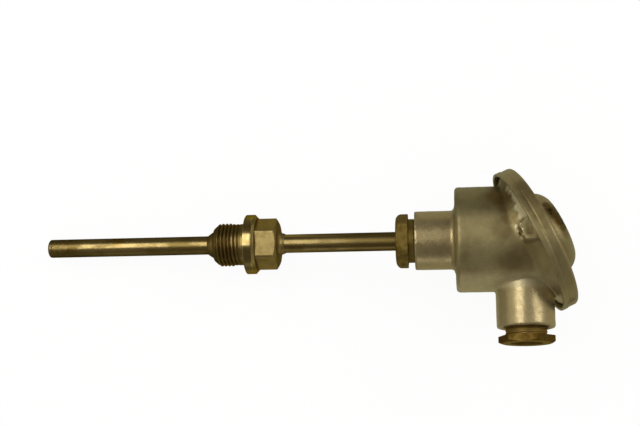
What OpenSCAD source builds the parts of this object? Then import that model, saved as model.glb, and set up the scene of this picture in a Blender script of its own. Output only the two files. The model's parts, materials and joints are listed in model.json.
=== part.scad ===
// Resistance thermometer probe: a closed stem with a screwed process fitting,
// a cast connection head with a slanted lid, and a spring-loaded measuring insert.
// The origin is the centre of the fitting's sealing face. +Z runs up the stem to
// the head, and the cable entry points along +X, on the side where the lid is high.

/* [Stem] */
// Tip of the stem to the sealing face
insertion_l = 100; // [60:1:250]
// Sealing face to the lower end of the head
extension_l = 81.4; // [60:0.2:160]
// Outside diameter of the protection tube
stem_d = 9; // [8.6:0.1:10.4]
// Wall of the protection tube
tube_wall = 1; // [0.6:0.05:1.1]
// Thickness of the plug that closes the tip
tip_t = 2; // [1.2:0.1:4]
// Length of the plug's spigot inside the tube
tip_spigot_l = 2; // [1:0.1:4]
// Rounding of the tip's edge
tip_round = 0.8; // [0.2:0.1:1]
// Floor of the head's cavity to the upper end of the tube
tube_top_gap = 1.5; // [0.5:0.1:2.5]

/* [Process fitting] */
// Major diameter of the process thread
process_thread_d = 20.955; // [18:0.005:24]
// Sealing face to the end of the full thread
process_thread_l = 13.2; // [9:0.1:20]
// Length of the lead-in chamfer of the thread
lead_in_l = 2.6; // [1:0.1:4]
// Diameter of the fitting at the end of its thread
lead_in_d = 16.3; // [15.2:0.1:17.4]
// Diameter of the relief behind the thread
relief_d = 20.1; // [17:0.1:20.8]
// Length of the relief behind the thread
relief_l = 6.9; // [2:0.1:8.4]
// Diameter of the plain end below the thread
pilot_d = 13; // [11.4:0.1:15]
// Length of the plain end below the thread
pilot_l = 1.4; // [0.6:0.1:3]
// Length of the weld below the fitting
lower_weld_l = 2.1; // [1:0.1:4]
// Diameter of the sealing collar
collar_d = 28.9; // [27.8:0.1:34]
// Thickness of the sealing collar
collar_t = 4.3; // [2.5:0.1:7]
// Height of the bevel on top of the collar
collar_bevel = 1.1; // [0.3:0.1:2]
// Width of the bevel on top of the collar
collar_bevel_w = 1.4; // [0.4:0.1:2]
// Width across flats of the fitting's hexagon
fitting_af = 22; // [19:0.5:23.5]
// Height of the fitting's hexagon above the collar
fitting_hex_l = 11.4; // [6:0.2:18]
// Height of the chamfer on the fitting's hexagon
fitting_chamfer = 1.5; // [0.5:0.1:2.5]
// Radius of the weld above the fitting
upper_weld_r = 3.1; // [1.5:0.1:4]

/* [Neck clamp] */
// Major diameter of the head's neck thread
neck_thread_d = 20.955; // [19:0.005:22.4]
// Width across flats of the clamp screw
clamp_af = 23; // [22.6:0.2:27]
// Thickness of the clamp screw's hexagon
clamp_hex_t = 5.8; // [4:0.2:9]
// Height of the chamfer on the clamp screw's hexagon
clamp_chamfer = 1.6; // [0.5:0.1:2.5]
// Thread left in view between the clamp screw and the neck
clamp_gap = 3.2; // [1:0.1:5]
// Length of the clamp screw's thread
clamp_thread_l = 12.8; // [9:0.2:14]
// Diameter of the thrust washer
clamp_washer_d = 17.2; // [15:0.1:18.4]
// Thickness of the thrust washer
clamp_washer_t = 1; // [0.6:0.1:1.6]
// Largest diameter of the clamp ring
clamp_ring_d = 16.4; // [14.4:0.1:18]
// Length of the straight part of the clamp ring
clamp_ring_l = 2.4; // [1.5:0.1:3.2]
// Length of the cone of the clamp ring
clamp_cone_l = 2.5; // [1.4:0.1:2.6]

/* [Head casting] */
// Diameter of the head's neck
neck_d = 28; // [26.4:0.1:32]
// Length of the head's neck
neck_l = 19.1; // [18.6:0.1:26]
// Fillet between the neck and the body
neck_fillet = 2.2; // [0.6:0.1:4]
// Diameter of the body
body_d = 50; // [49:0.1:53]
// Rounding of the body's lower edge
body_round = 1.8; // [0.5:0.1:3]
// Wall of the body
body_wall = 3; // [2:0.1:3.4]
// Thickness of the floor
floor_t = 5.5; // [5:0.1:8]
// Lower end of the neck to the axis of the cable entry
entry_rise = 50.4; // [48:0.1:51.5]
// Diameter of the cable entry boss
entry_boss_d = 26.8; // [24.5:0.1:28]
// Body axis to the mouth of the cable entry
entry_reach = 42.3; // [40:0.1:52]
// Bore from the cable entry into the cavity
entry_bore_d = 14; // [9:0.5:15]
// Thickness of the shoulder that the cable seal sits on
entry_shoulder = 3.2; // [1.5:0.1:4]

/* [Earth terminal] */
// Diameter of the earth lug on the cavity's wall
earth_lug_d = 7; // [6:0.1:7.4]
// Height of the earth lug's face above the floor
earth_rise = 15; // [14:0.1:18]
// Thickness of the earth lug
earth_lug_t = 7; // [5:0.1:7.6]
// Thread diameter of the earth screw
earth_screw_d = 3.5; // [3:0.1:3.6]
// Head diameter of the earth screw
earth_head_d = 6; // [5:0.1:6.6]
// Head height of the earth screw
earth_head_t = 2.4; // [1.6:0.1:2.8]
// Length of the earth screw's thread
earth_screw_l = 6; // [4:0.1:6.4]
// Diameter of the earth washer
earth_washer_d = 6.8; // [6.6:0.1:7]
// Thickness of the earth washer
earth_washer_t = 0.8; // [0.4:0.1:1.2]

/* [Lid seat] */
// Slope of the lid
lid_tilt = 24.8; // [20:0.1:26]
// Lower end of the neck to the centre of the lid's outer face
lid_rise = 59.8; // [58:0.1:66]
// Body axis to the centre of the lid, away from the cable entry
lid_shift = 1.4; // [0:0.1:2.5]
// Gap between the head's flange and the lid's skirt
flange_gap = 1.3; // [1:0.1:1.8]
// Thickness of the head's flange
flange_t = 2.5; // [1.6:0.1:3.5]
// Flange left between the cavity's mouth and the gasket
mouth_edge = 0.6; // [0.3:0.1:1]
// Depth over which the cavity opens out to its mouth
mouth_depth = 9; // [6:0.1:10]
// Edge of the lid to the axis of a lid screw
lid_screw_edge = 6; // [5.8:0.1:6.2]
// Width of a screw lug at the flange
lug_w = 12.8; // [9:0.1:16]
// Width of a screw lug at its lower end
lug_tip_w = 7.4; // [6:0.1:9]
// Depth of a screw lug below the flange
lug_l = 6.8; // [4:0.1:9]
// Gap between a lug's flat face and the lid's skirt
lug_gap = 1.7; // [1.4:0.1:2]
// Diameter of the round mark on each lug
lug_mark_d = 5; // [2:0.1:6]
// Depth of that mark
lug_mark_t = 0.3; // [0.1:0.1:0.6]
// Flange to the middle of that mark
lug_mark_drop = 2.9; // [2.6:0.1:4]

/* [Lid] */
// Diameter of the lid
lid_d = 71.2; // [68:0.2:76]
// Depth of the lid from its outer face to its rim
lid_depth = 7.9; // [7:0.1:12]
// Thickness of the lid's plate
lid_plate = 3; // [2.6:0.1:3.2]
// Wall of the lid's skirt
skirt_wall = 1.4; // [1:0.1:1.6]
// Height of the raised band along the rim
rim_band_l = 2.7; // [1:0.1:4]
// How far the rim band stands out
rim_band = 0.3; // [0.1:0.05:0.5]
// Rounding of the lid's outer edge
lid_round = 1.2; // [0.4:0.1:2]
// Diameter of the dome at its foot
dome_d = 40.8; // [34:0.2:44]
// Height of the dome
dome_h = 9.6; // [9:0.1:14]
// Radius of the dome's crown
dome_crown_r = 130; // [90:1:200]
// Rounding of the dome's shoulder
dome_round = 8.8; // [5:0.1:9.4]
// Fillet at the foot of the dome
dome_fillet = 1.5; // [0.4:0.1:3]
// Wall of the dome
dome_wall = 2.5; // [1.5:0.1:3.5]
// Thickness of the lid gasket
gasket_t = 1.6; // [1.2:0.1:2]
// Part of the gasket that sits in its groove
gasket_seat = 0.9; // [0.5:0.1:1.1]
// Gap between the gasket and a lid screw
gasket_edge = 0.6; // [0.4:0.1:1]
// Width of the lid gasket
gasket_w = 1.9; // [1:0.1:2]
// Thread diameter of a lid screw
lid_screw_d = 4; // [3:0.1:4]
// Head diameter of a lid screw
lid_screw_head_d = 7.4; // [6:0.1:7.8]
// Length of a lid screw
lid_screw_l = 11.4; // [9:0.1:12]
// Width and depth of a lid screw's slot
lid_slot = 1; // [0.6:0.1:1.2]

/* [Cable gland] */
// Major diameter of the gland thread
gland_thread_d = 20; // [18:0.1:21]
// Length of the gland thread
gland_thread_l = 8; // [6:0.1:9]
// Width across flats of the gland screw
gland_af = 23; // [22:0.5:26]
// Thickness of the gland screw's hexagon
gland_hex_t = 3.5; // [2.5:0.1:7]
// Height of the chamfer on the gland screw's hexagon
gland_chamfer = 0.9; // [0.4:0.1:1.6]
// Plain neck in view between the gland thread and its hexagon
gland_neck_l = 2.6; // [1:0.1:4]
// Diameter of that plain neck
gland_neck_d = 18.9; // [16:0.1:19.4]
// How far the gland thread stands out of its boss
gland_proud = 1.1; // [0.2:0.1:2]
// Bore of the gland screw
gland_bore_d = 12.4; // [9:0.1:14]
// Diameter of the bore's flared mouth
gland_flare_d = 15; // [14.2:0.1:18]
// Thickness of the gland washer
gland_washer_t = 1; // [0.6:0.1:1.5]
// Thickness of the cable seal
seal_t = 5.5; // [4:0.1:6]
// Bore of the cable seal
seal_bore_d = 11; // [7:0.1:12]

/* [Measuring insert] */
// Diameter of the insert tube
insert_d = 6; // [4.6:0.1:6.3]
// Wall of the insert tube
insert_wall = 0.7; // [0.4:0.05:0.8]
// Gap between the insert's tip and the tip plug
tip_gap = 0.1; // [0.05:0.05:1]
// Diameter of the sensing element
element_d = 2.8; // [2.2:0.1:3]
// Length of the sensing element
element_l = 15; // [5:0.5:40]
// Diameter of the ceramic wire insulator
insulator_d = 4.1; // [3.6:0.1:4.3]
// Diameter of a lead wire
lead_d = 0.5; // [0.3:0.05:0.6]
// Distance of the lead wires from each other
lead_pitch = 1.7; // [1.4:0.1:1.9]
// Diameter of the insert flange
insert_flange_d = 42; // [41:0.1:43]
// Thickness of the insert flange
insert_flange_t = 1.5; // [1:0.1:2.5]
// Distance between the two insert screws
insert_screw_pitch = 33; // [32:0.1:34]
// Thread diameter of an insert screw
insert_screw_d = 4; // [3:0.1:4]
// Head diameter of an insert screw
insert_head_d = 7; // [6:0.1:7.4]
// Head height of an insert screw
insert_head_t = 2.6; // [1.6:0.1:3]
// Thread of an insert screw that sits in the floor
insert_thread_l = 4; // [2.5:0.1:4.2]
// Length of an insert spring
spring_l = 10.4; // [8:0.1:13]
// Wire diameter of an insert spring
spring_wire = 0.8; // [0.5:0.05:0.9]
// Turns of an insert spring
spring_turns = 5.5; // [4:0.5:7]

/* [Terminal block] */
// Diameter of the terminal block
block_d = 38; // [36:0.2:40]
// Width of the terminal block between its flats
block_w = 24; // [22:0.1:25]
// Height of the terminal block
block_h = 10.5; // [8:0.1:12]
// Diameter of the wire hole in the block
block_bore_d = 4.8; // [4.2:0.1:6]
// Distance between the two block screws
block_screw_pitch = 22; // [20:0.1:25]
// Thread diameter of a block screw and of a terminal screw
small_screw_d = 3; // [2.5:0.1:3.2]
// Head diameter of a block screw
block_head_d = 5.5; // [4.6:0.1:6.2]
// Head height of a block screw
block_head_t = 2; // [1.4:0.1:2.6]
// Width of a terminal bar
bar_w = 5; // [4.6:0.1:6]
// Length of a terminal bar
bar_l = 10.4; // [9.8:0.1:11.5]
// Thickness of a terminal bar
bar_t = 3; // [1.6:0.1:4]
// How deep a terminal bar sits in the block
bar_seat = 1; // [0.4:0.1:1.5]
// Distance between the two rows of terminal bars
bar_row_pitch = 13; // [12.6:0.1:14]
// Distance between the bars of one row, centre to centre
bar_pitch = 17.4; // [17:0.1:18]
// Distance between the two screws of one bar
bar_screw_pitch = 5; // [4.8:0.1:5.2]
// Head diameter of a terminal screw
terminal_head_d = 4.4; // [3.8:0.1:4.6]
// Head height of a terminal screw
terminal_head_t = 1.8; // [1:0.1:2.4]

/* [Hidden] */
$fn = 64;

// Clearances, measured on the radius where a part is round
run_clear = 0.05;      // a part that turns or slides in another
thread_clear = 0.05;   // a screw thread in its tapped hole
pass_clear = 0.3;      // a screw in a plain hole
washer_clear = 0.15;   // a washer on its screw
lead_clear = 0.1;      // a lead wire in its bore, or beside a screw
part_clear = 0.1;      // a part laid in its groove or seat
face_gap = 0.05;       // two faces that meet
seal_clear = 0.35;     // a loose ring in its bore
cut = 1;               // how far a cut runs past the faces that it opens
sink = 0.5;            // how far a shape runs into the one that it grows out of

// Turned hexagons: how each one is turned, and the slope of their chamfers
fitting_turn = 10.4;
clamp_turn = 2.1;
gland_turn = 13.6;
chamfer_tilt = 28.8;

// Stem
stem_r = stem_d / 2;
tube_bore_r = stem_r - tube_wall;
tube_foot_z = tip_t - insertion_l;
tip_floor_z = tube_foot_z + tip_spigot_l;

// Process fitting
fitting_bore_r = stem_r + thread_clear;
pilot_z = -process_thread_l - lead_in_l;
fitting_foot_z = pilot_z - pilot_l - lower_weld_l;
fitting_top_z = collar_t + fitting_hex_l;
weld_edge = 0.1;

// Neck clamp, in the head's own heights
clamp_bore_r = stem_r + run_clear;
clamp_washer_z = clamp_thread_l - clamp_gap + face_gap;
clamp_ring_z = clamp_washer_z + clamp_washer_t + face_gap;
clamp_cone_z = clamp_ring_z + clamp_ring_l;
clamp_ring_r = clamp_ring_d / 2;
clamp_seat_clear = 0.15;
neck_tap_r = neck_thread_d / 2 + thread_clear;
neck_tap_over = 1;
neck_tap_l = clamp_ring_z + neck_tap_over;

// Head
body_r = body_d / 2;
cavity_r = body_r - body_wall;
floor_z = neck_l + floor_t;
tube_top_z = floor_z - tube_top_gap;
stem_hole_r = stem_r + 2 * run_clear;
lid_r = lid_d / 2;
lid_skirt_r = lid_r - skirt_wall;
lid_screw_r = lid_r - lid_screw_edge;
gasket_r = lid_screw_r - lid_screw_d / 2 - gasket_edge;
gasket_bore_r = gasket_r - gasket_w;
mouth_r = gasket_bore_r - mouth_edge;
mouth_inset = 1;
flange_r = lid_skirt_r - flange_gap;
lug_reach = lid_skirt_r - lug_gap;
seat_plane = -(lid_plate + gasket_t - gasket_seat);
flange_foot = seat_plane - flange_t;
cove_r = 12;
cove_steps = [0, 20, 35, 48, 60, 70];
cove_inset = 0.4;
cove_edge = 0.3;
cove_slice = 0.2;
cove_foot_r = body_r - cove_inset;
cove_span = flange_r - cove_edge - cove_foot_r;

// Earth terminal
earth_turn = 153;
earth_slot_turn = 65;
earth_inset = 3.8;
earth_tap_over = 0.3;
earth_z = floor_z + earth_rise;

// Cable entry
entry_tap_r = gland_thread_d / 2 + thread_clear;
entry_chamfer = 0.7;
shoulder_x = cavity_r + entry_shoulder;
gland_thread_x = entry_reach + gland_proud;
gland_inner_x = gland_thread_x - gland_thread_l;
gland_hex_x = gland_thread_x + gland_neck_l;
gland_washer_x = gland_inner_x - face_gap - gland_washer_t;
seal_x = gland_washer_x - face_gap - seal_t;
gland_ring_r = gland_thread_d / 2 - seal_clear;

// Lid
lid_wall_r = lid_r - rim_band;
dome_r = dome_d / 2;
lid_tap_r = lid_screw_d / 2 + thread_clear;
lid_tap_over = 0.9;
lid_tap_l = lid_screw_l + lid_tap_over;
lid_sink_l = (lid_screw_head_d - lid_screw_d) / 2;
lid_screw_set = 0.1;
lid_slot_turn = 25;

// Measuring insert, in the head's own heights
insert_r = insert_d / 2;
insert_tip_z = tip_floor_z + tip_gap - extension_l;
insert_bore_r = insert_r - insert_wall;
insert_floor_z = insert_tip_z + insert_r;
insert_round = insert_r * 0.4;
element_gap = 0.1;
element_z = insert_floor_z + element_gap;
insulator_gap = 1;
insulator_z = element_z + element_l + insulator_gap;
block_z = floor_z + insert_flange_t;
block_top_z = block_z + block_h;
screw_head_z = block_z + spring_l;
insert_tap_over = 0.5;
insert_slot_turn = 30;
spring_play = 0.35;
spring_r = insert_screw_d / 2 + pass_clear + spring_play + spring_wire / 2;

// Terminal block
bar_z = block_top_z - bar_seat;
bar_top_z = bar_z + bar_t;
small_tap_r = small_screw_d / 2 + thread_clear;
block_head_z = block_z + block_h / 2;
lead_run_z = bar_top_z + lead_d / 2 + face_gap;
lead_inset = 1.2;
lead_reach = terminal_head_d / 2 + lead_d / 2 + lead_clear;
lead_end_x = bar_row_pitch / 2 - lead_inset;
lead_end_y = (bar_pitch - bar_screw_pitch) / 2 - sqrt(lead_reach * lead_reach - lead_inset * lead_inset);

module at_head() {
    translate([0, 0, extension_l]) children();
}

// The lid's own frame: its outer face is the plane of zero height
module at_lid() {
    at_head() translate([-lid_shift, 0, lid_rise]) rotate([0, -lid_tilt, 0]) children();
}

// The cable entry's own frame: heights run outwards from the body's axis
module at_entry() {
    at_head() translate([0, 0, entry_rise]) rotate([0, 90, 0]) children();
}

module hexagon(af) {
    circle(d = af / cos(30), $fn = 6);
}

module ring(outer_r, inner_r, height) {
    difference() {
        cylinder(r = outer_r, h = height);
        translate([0, 0, -cut]) cylinder(r = inner_r, h = height + 2 * cut);
    }
}

// A block whose ends are rounded off towards the top by a turned chamfer
module turned_hex(af, height, chamfer, turn) {
    corner_r = af / 2 / cos(30);
    face_r = af / 2 - chamfer * tan(chamfer_tilt);
    intersection() {
        rotate([0, 0, turn]) linear_extrude(height) hexagon(af);
        rotate_extrude() polygon([
            [0, 0], [corner_r + cut, 0], [corner_r + cut, height - chamfer - cut * chamfer / (corner_r - face_r)],
            [face_r, height], [0, height]
        ]);
    }
}

// A slotted cheese-head screw that stands on the plane under its head
module cheese_screw(d, head_d, head_t, length) {
    slot_w = d / 5;
    slot_floor = head_t * 0.55;
    difference() {
        union() {
            translate([0, 0, -length]) cylinder(d = d, h = length + head_t / 2);
            cylinder(d = head_d, h = head_t);
        }
        translate([-head_d, -slot_w / 2, slot_floor]) cube([2 * head_d, slot_w, head_t]);
    }
}

// Stem

module protection_tube() {
    color("#a08c5a") translate([0, 0, tube_foot_z])
        ring(stem_r, tube_bore_r, extension_l + tube_top_z - tube_foot_z);
}

module tip_plug() {
    color("#a08c5a") translate([0, 0, -insertion_l]) rotate_extrude() union() {
        square([stem_r - tip_round, tip_t]);
        translate([0, tip_round]) square([stem_r, tip_t - tip_round]);
        translate([stem_r - tip_round, tip_round]) circle(tip_round);
        square([tube_bore_r - run_clear, tip_t + tip_spigot_l]);
    }
}

module fitting_shank() {
    rotate_extrude() polygon([
        [0, fitting_foot_z],
        [fitting_bore_r + weld_edge, fitting_foot_z],
        [pilot_d / 2, pilot_z - pilot_l],
        [pilot_d / 2, pilot_z],
        [lead_in_d / 2, pilot_z],
        [process_thread_d / 2, -process_thread_l],
        [process_thread_d / 2, -relief_l],
        [relief_d / 2, -relief_l],
        [relief_d / 2, 0],
        [collar_d / 2, 0],
        [collar_d / 2, collar_t],
        [collar_d / 2 - collar_bevel_w, collar_t + collar_bevel],
        [0, collar_t + collar_bevel]
    ]);
}

module upper_weld() {
    translate([0, 0, fitting_top_z]) rotate_extrude() difference() {
        translate([0, -sink]) square([fitting_bore_r + upper_weld_r, upper_weld_r + sink]);
        translate([fitting_bore_r + upper_weld_r + weld_edge, upper_weld_r]) circle(upper_weld_r);
    }
}

module process_fitting() {
    color("#b8a470") difference() {
        union() {
            fitting_shank();
            translate([0, 0, collar_t]) turned_hex(fitting_af, fitting_hex_l, fitting_chamfer, fitting_turn);
            upper_weld();
        }
        translate([0, 0, fitting_foot_z - cut])
            cylinder(r = fitting_bore_r, h = fitting_top_z + upper_weld_r - fitting_foot_z + 2 * cut);
    }
}

// Neck clamp

module neck_clamp_screw() {
    color("#7a6430") at_head() translate([0, 0, -clamp_gap]) difference() {
        union() {
            mirror([0, 0, 1]) turned_hex(clamp_af, clamp_hex_t, clamp_chamfer, clamp_turn);
            cylinder(d = neck_thread_d, h = clamp_thread_l);
        }
        translate([0, 0, -clamp_hex_t - cut])
            cylinder(r = clamp_bore_r, h = clamp_hex_t + clamp_thread_l + 2 * cut);
    }
}

module clamp_washer() {
    color("silver") at_head() translate([0, 0, clamp_washer_z])
        ring(clamp_washer_d / 2, clamp_bore_r, clamp_washer_t);
}

module clamp_ring() {
    color("#b08d45") at_head() difference() {
        union() {
            translate([0, 0, clamp_ring_z]) cylinder(r = clamp_ring_r, h = clamp_ring_l);
            translate([0, 0, clamp_cone_z])
                cylinder(r1 = clamp_ring_r, r2 = clamp_ring_r - clamp_cone_l, h = clamp_cone_l);
        }
        translate([0, 0, clamp_ring_z - cut]) cylinder(r = clamp_bore_r, h = clamp_ring_l + clamp_cone_l + 2 * cut);
    }
}

// Head casting

module neck_and_body() {
    rotate_extrude() union() {
        square([neck_d / 2, neck_l + cut]);
        translate([0, neck_l]) square([body_r - body_round, lid_rise]);
        translate([0, neck_l + body_round]) square([body_r, lid_rise]);
        translate([body_r - body_round, neck_l + body_round]) circle(body_round);
        difference() {
            translate([0, neck_l - neck_fillet]) square([neck_d / 2 + neck_fillet, neck_fillet + body_round]);
            translate([neck_d / 2 + neck_fillet, neck_l - neck_fillet]) circle(neck_fillet);
        }
    }
}

// One section of the cove between the round body and the slanted flange: its centre
// leaves the body's axis for the lid's as the cove opens out
module cove_section(turn) {
    full = cos(cove_steps[0]) - cos(cove_steps[len(cove_steps) - 1]);
    opened = (cos(cove_steps[0]) - cos(turn)) / full;
    depth = flange_foot - cove_r * (sin(cove_steps[len(cove_steps) - 1]) - sin(turn));
    on_axis = (lid_shift + depth * sin(lid_tilt)) / cos(lid_tilt);
    translate([on_axis * (1 - opened), 0, depth]) cylinder(r = cove_foot_r + cove_span * opened, h = cove_slice);
}

module flange_cove() {
    at_lid() for (i = [1 : len(cove_steps) - 1])
        hull() {
            cove_section(cove_steps[i - 1]);
            cove_section(cove_steps[i]);
        }
}

module flange_disc() {
    translate([0, 0, flange_foot]) cylinder(r = flange_r, h = flange_t);
}

module screw_lug() {
    rotate([90, 0, 0]) linear_extrude(lug_reach) polygon([
        [-lug_w / 2, flange_foot + sink], [lug_w / 2, flange_foot + sink],
        [lug_w / 2, flange_foot], [lug_tip_w / 2, flange_foot - lug_l],
        [-lug_tip_w / 2, flange_foot - lug_l], [-lug_w / 2, flange_foot]
    ]);
}

module lug_cuts() {
    translate([0, -lid_screw_r, seat_plane - lid_tap_l + lid_plate])
        cylinder(r = lid_tap_r, h = lid_tap_l + cut);
    translate([0, -lug_reach - cut, flange_foot - lug_mark_drop])
        rotate([-90, 0, 0]) cylinder(d = lug_mark_d, h = cut + lug_mark_t);
}

module head_solid() {
    difference() {
        union() {
            at_head() neck_and_body();
            flange_cove();
            at_entry() cylinder(d = entry_boss_d, h = entry_reach);
        }
        at_lid() translate([-lid_d, -lid_d, flange_foot + sink]) cube([2 * lid_d, 2 * lid_d, body_d]);
    }
    at_lid() {
        flange_disc();
        for (side = [0, 180]) rotate([0, 0, side]) screw_lug();
    }
}

module head_cavity() {
    at_head() translate([0, 0, floor_z]) cylinder(r = cavity_r, h = lid_rise);
    at_lid() rotate_extrude() polygon([
        [0, seat_plane - mouth_depth], [cavity_r - mouth_inset, seat_plane - mouth_depth],
        [mouth_r, seat_plane], [mouth_r, seat_plane + cut], [0, seat_plane + cut]
    ]);
}

module at_earth() {
    at_head() rotate([0, 0, earth_turn]) translate([cavity_r - earth_inset, 0, earth_z]) children();
}

// The lug that stands on the cavity's wall, cut off at the body's own wall
module earth_lug() {
    intersection() {
        at_earth() translate([0, 0, -earth_lug_t]) difference() {
            union() {
                cylinder(d = earth_lug_d, h = earth_lug_t);
                translate([0, -earth_lug_d / 2, 0]) cube([earth_lug_d, earth_lug_d, earth_lug_t]);
            }
            translate([0, 0, earth_lug_t - earth_screw_l + earth_washer_t - earth_tap_over])
                cylinder(r = earth_screw_d / 2 + thread_clear, h = earth_screw_l);
        }
        at_head() cylinder(r = cavity_r + body_wall / 2, h = lid_rise);
    }
}

module neck_bore() {
    at_head() {
        translate([0, 0, -cut]) cylinder(r = neck_tap_r, h = neck_tap_l + cut);
        translate([0, 0, neck_tap_l - cut])
            cylinder(r = clamp_ring_r + clamp_seat_clear, h = clamp_cone_z - neck_tap_l + cut);
        translate([0, 0, clamp_cone_z])
            cylinder(r1 = clamp_ring_r + clamp_seat_clear, r2 = stem_hole_r,
                     h = clamp_ring_r + clamp_seat_clear - stem_hole_r);
        translate([0, 0, clamp_cone_z]) cylinder(r = stem_hole_r, h = floor_z);
        for (side = [-1, 1])
            translate([side * insert_screw_pitch / 2, 0, floor_z - insert_thread_l - insert_tap_over])
                cylinder(r = insert_screw_d / 2 + thread_clear, h = floor_z);
    }
}

module entry_bores() {
    at_entry() {
        translate([0, 0, shoulder_x]) cylinder(r = entry_tap_r, h = entry_reach);
        translate([0, 0, cavity_r / 2]) cylinder(d = entry_bore_d, h = entry_reach);
        translate([0, 0, entry_reach - entry_chamfer])
            cylinder(r1 = entry_tap_r, r2 = entry_tap_r + entry_chamfer + cut, h = entry_chamfer + cut);
    }
}

module head_body() {
    color("#8c8668") {
        difference() {
            head_solid();
            head_cavity();
            neck_bore();
            entry_bores();
            at_lid() for (side = [0, 180]) rotate([0, 0, side]) lug_cuts();
        }
        earth_lug();
    }
}

module earth_washer() {
    color("#d0cdbf") at_earth() ring(earth_washer_d / 2, earth_screw_d / 2 + washer_clear, earth_washer_t);
}

module earth_screw() {
    color("#c9a35a") at_earth() translate([0, 0, earth_washer_t]) rotate([0, 0, earth_slot_turn])
        cheese_screw(earth_screw_d, earth_head_d, earth_head_t, earth_screw_l);
}

// Lid

module dome_profile(r, h, round_r) {
    intersection() {
        union() {
            square([r - round_r, h]);
            square([r, h - round_r]);
            translate([r - round_r, h - round_r]) circle(round_r);
        }
        translate([0, h - dome_crown_r]) circle(dome_crown_r, $fn = 360);
    }
}

module lid_profile() {
    difference() {
        union() {
            translate([0, -lid_depth]) square([lid_wall_r, lid_depth - lid_round]);
            translate([0, -lid_depth]) square([lid_wall_r - lid_round, lid_depth]);
            translate([lid_wall_r - lid_round, -lid_round]) circle(lid_round);
            translate([0, -lid_depth]) square([lid_r, rim_band_l]);
            dome_profile(dome_r, dome_h, dome_round);
            difference() {
                square([dome_r + dome_fillet, dome_fillet]);
                translate([dome_r + dome_fillet, dome_fillet]) circle(dome_fillet);
            }
        }
        translate([-cut, -lid_depth - cut]) square([lid_skirt_r + cut, lid_depth - lid_plate + cut]);
        translate([0, -lid_plate - cut]) dome_profile(dome_r - dome_wall, dome_h + lid_plate - dome_wall + cut,
                                                      dome_round - dome_wall);
        translate([gasket_bore_r - part_clear, -lid_plate - cut])
            square([gasket_w + 2 * part_clear, gasket_seat + cut]);
        translate([-2 * lid_r, -lid_r]) square([2 * lid_r, 2 * lid_r]);
    }
}

module lid() {
    color("#8c8668") at_lid() difference() {
        rotate_extrude() lid_profile();
        for (side = [-1, 1]) translate([0, side * lid_screw_r, -lid_plate - cut]) {
            cylinder(r = lid_screw_d / 2 + pass_clear, h = lid_plate + 2 * cut);
            translate([0, 0, lid_plate + cut - lid_sink_l])
                cylinder(r1 = lid_screw_d / 2 + pass_clear, r2 = lid_screw_head_d / 2 + pass_clear + cut,
                         h = lid_sink_l + cut);
        }
    }
}

module lid_gasket() {
    color("#2b2b2b") at_lid() translate([0, 0, seat_plane])
        ring(gasket_r, gasket_bore_r, gasket_t);
}

module lid_screw() {
    difference() {
        union() {
            translate([0, 0, -lid_screw_l]) cylinder(d = lid_screw_d, h = lid_screw_l - lid_screw_set);
            translate([0, 0, -lid_sink_l]) cylinder(d1 = lid_screw_d, d2 = lid_screw_head_d, h = lid_sink_l);
        }
        translate([-lid_screw_head_d, -lid_slot / 2, -lid_slot]) cube([2 * lid_screw_head_d, lid_slot, 2 * lid_slot]);
    }
}

module lid_screws() {
    color("#9a9a8c") at_lid() for (side = [-1, 1])
        translate([0, side * lid_screw_r, -lid_screw_set]) rotate([0, 0, lid_slot_turn * side]) lid_screw();
}

// Cable gland

module gland_washer() {
    color("silver") at_entry() translate([0, 0, gland_washer_x])
        ring(gland_ring_r, gland_bore_d / 2, gland_washer_t);
}

module cable_seal() {
    color("#303030") at_entry() translate([0, 0, seal_x]) ring(gland_ring_r, seal_bore_d / 2, seal_t);
}

module gland_screw() {
    flare_l = (gland_flare_d - gland_bore_d) / 2;
    color("#7a6430") at_entry() difference() {
        union() {
            translate([0, 0, gland_inner_x]) cylinder(d = gland_thread_d, h = gland_thread_l);
            translate([0, 0, gland_inner_x]) cylinder(d = gland_neck_d, h = gland_hex_x - gland_inner_x + cut);
            translate([0, 0, gland_hex_x]) turned_hex(gland_af, gland_hex_t, gland_chamfer, gland_turn);
        }
        translate([0, 0, gland_inner_x - cut]) cylinder(d = gland_bore_d, h = entry_reach);
        translate([0, 0, gland_hex_x + gland_hex_t - flare_l])
            cylinder(r1 = gland_bore_d / 2, r2 = gland_flare_d / 2 + cut, h = flare_l + cut);
    }
}

// Measuring insert

module insert_tube() {
    length = block_z - insert_tip_z;
    color("#a09c90") at_head() translate([0, 0, insert_tip_z]) rotate_extrude() intersection() {
        difference() {
            union() {
                translate([0, insert_round]) square([insert_r, length - insert_round]);
                square([insert_r - insert_round, insert_r]);
                translate([insert_r - insert_round, insert_round]) circle(insert_round);
            }
            translate([-cut, insert_r]) square([insert_bore_r + cut, length]);
        }
        square([insert_d, length]);
    }
}

module sensing_element() {
    color("#e8e4d8") at_head() translate([0, 0, element_z]) cylinder(d = element_d, h = element_l);
}

module each_lead() {
    for (sx = [-1, 1]) for (sy = [-1, 1]) translate([sx, sy, 0] * lead_pitch / 2) children();
}

module wire_insulator() {
    color("#efeadc") at_head() difference() {
        translate([0, 0, insulator_z]) cylinder(d = insulator_d, h = block_z - insulator_z);
        each_lead() translate([0, 0, insulator_z - cut])
            cylinder(r = lead_d / 2 + lead_clear, h = block_z - insulator_z + 2 * cut);
    }
}

// One lead: up through the insulator, then out to its terminal bar
module lead_wire(sx, sy) {
    start = [sx, sy] * lead_pitch / 2;
    finish = [sx * lead_end_x, sy * lead_end_y];
    run = finish - start;
    z0 = element_z + element_l;
    translate([start.x, start.y, z0]) cylinder(d = lead_d, h = lead_run_z - z0);
    translate([start.x, start.y, lead_run_z]) sphere(d = lead_d);
    translate([start.x, start.y, lead_run_z]) rotate([0, 90, atan2(run.y, run.x)])
        cylinder(d = lead_d, h = norm(run));
}

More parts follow.
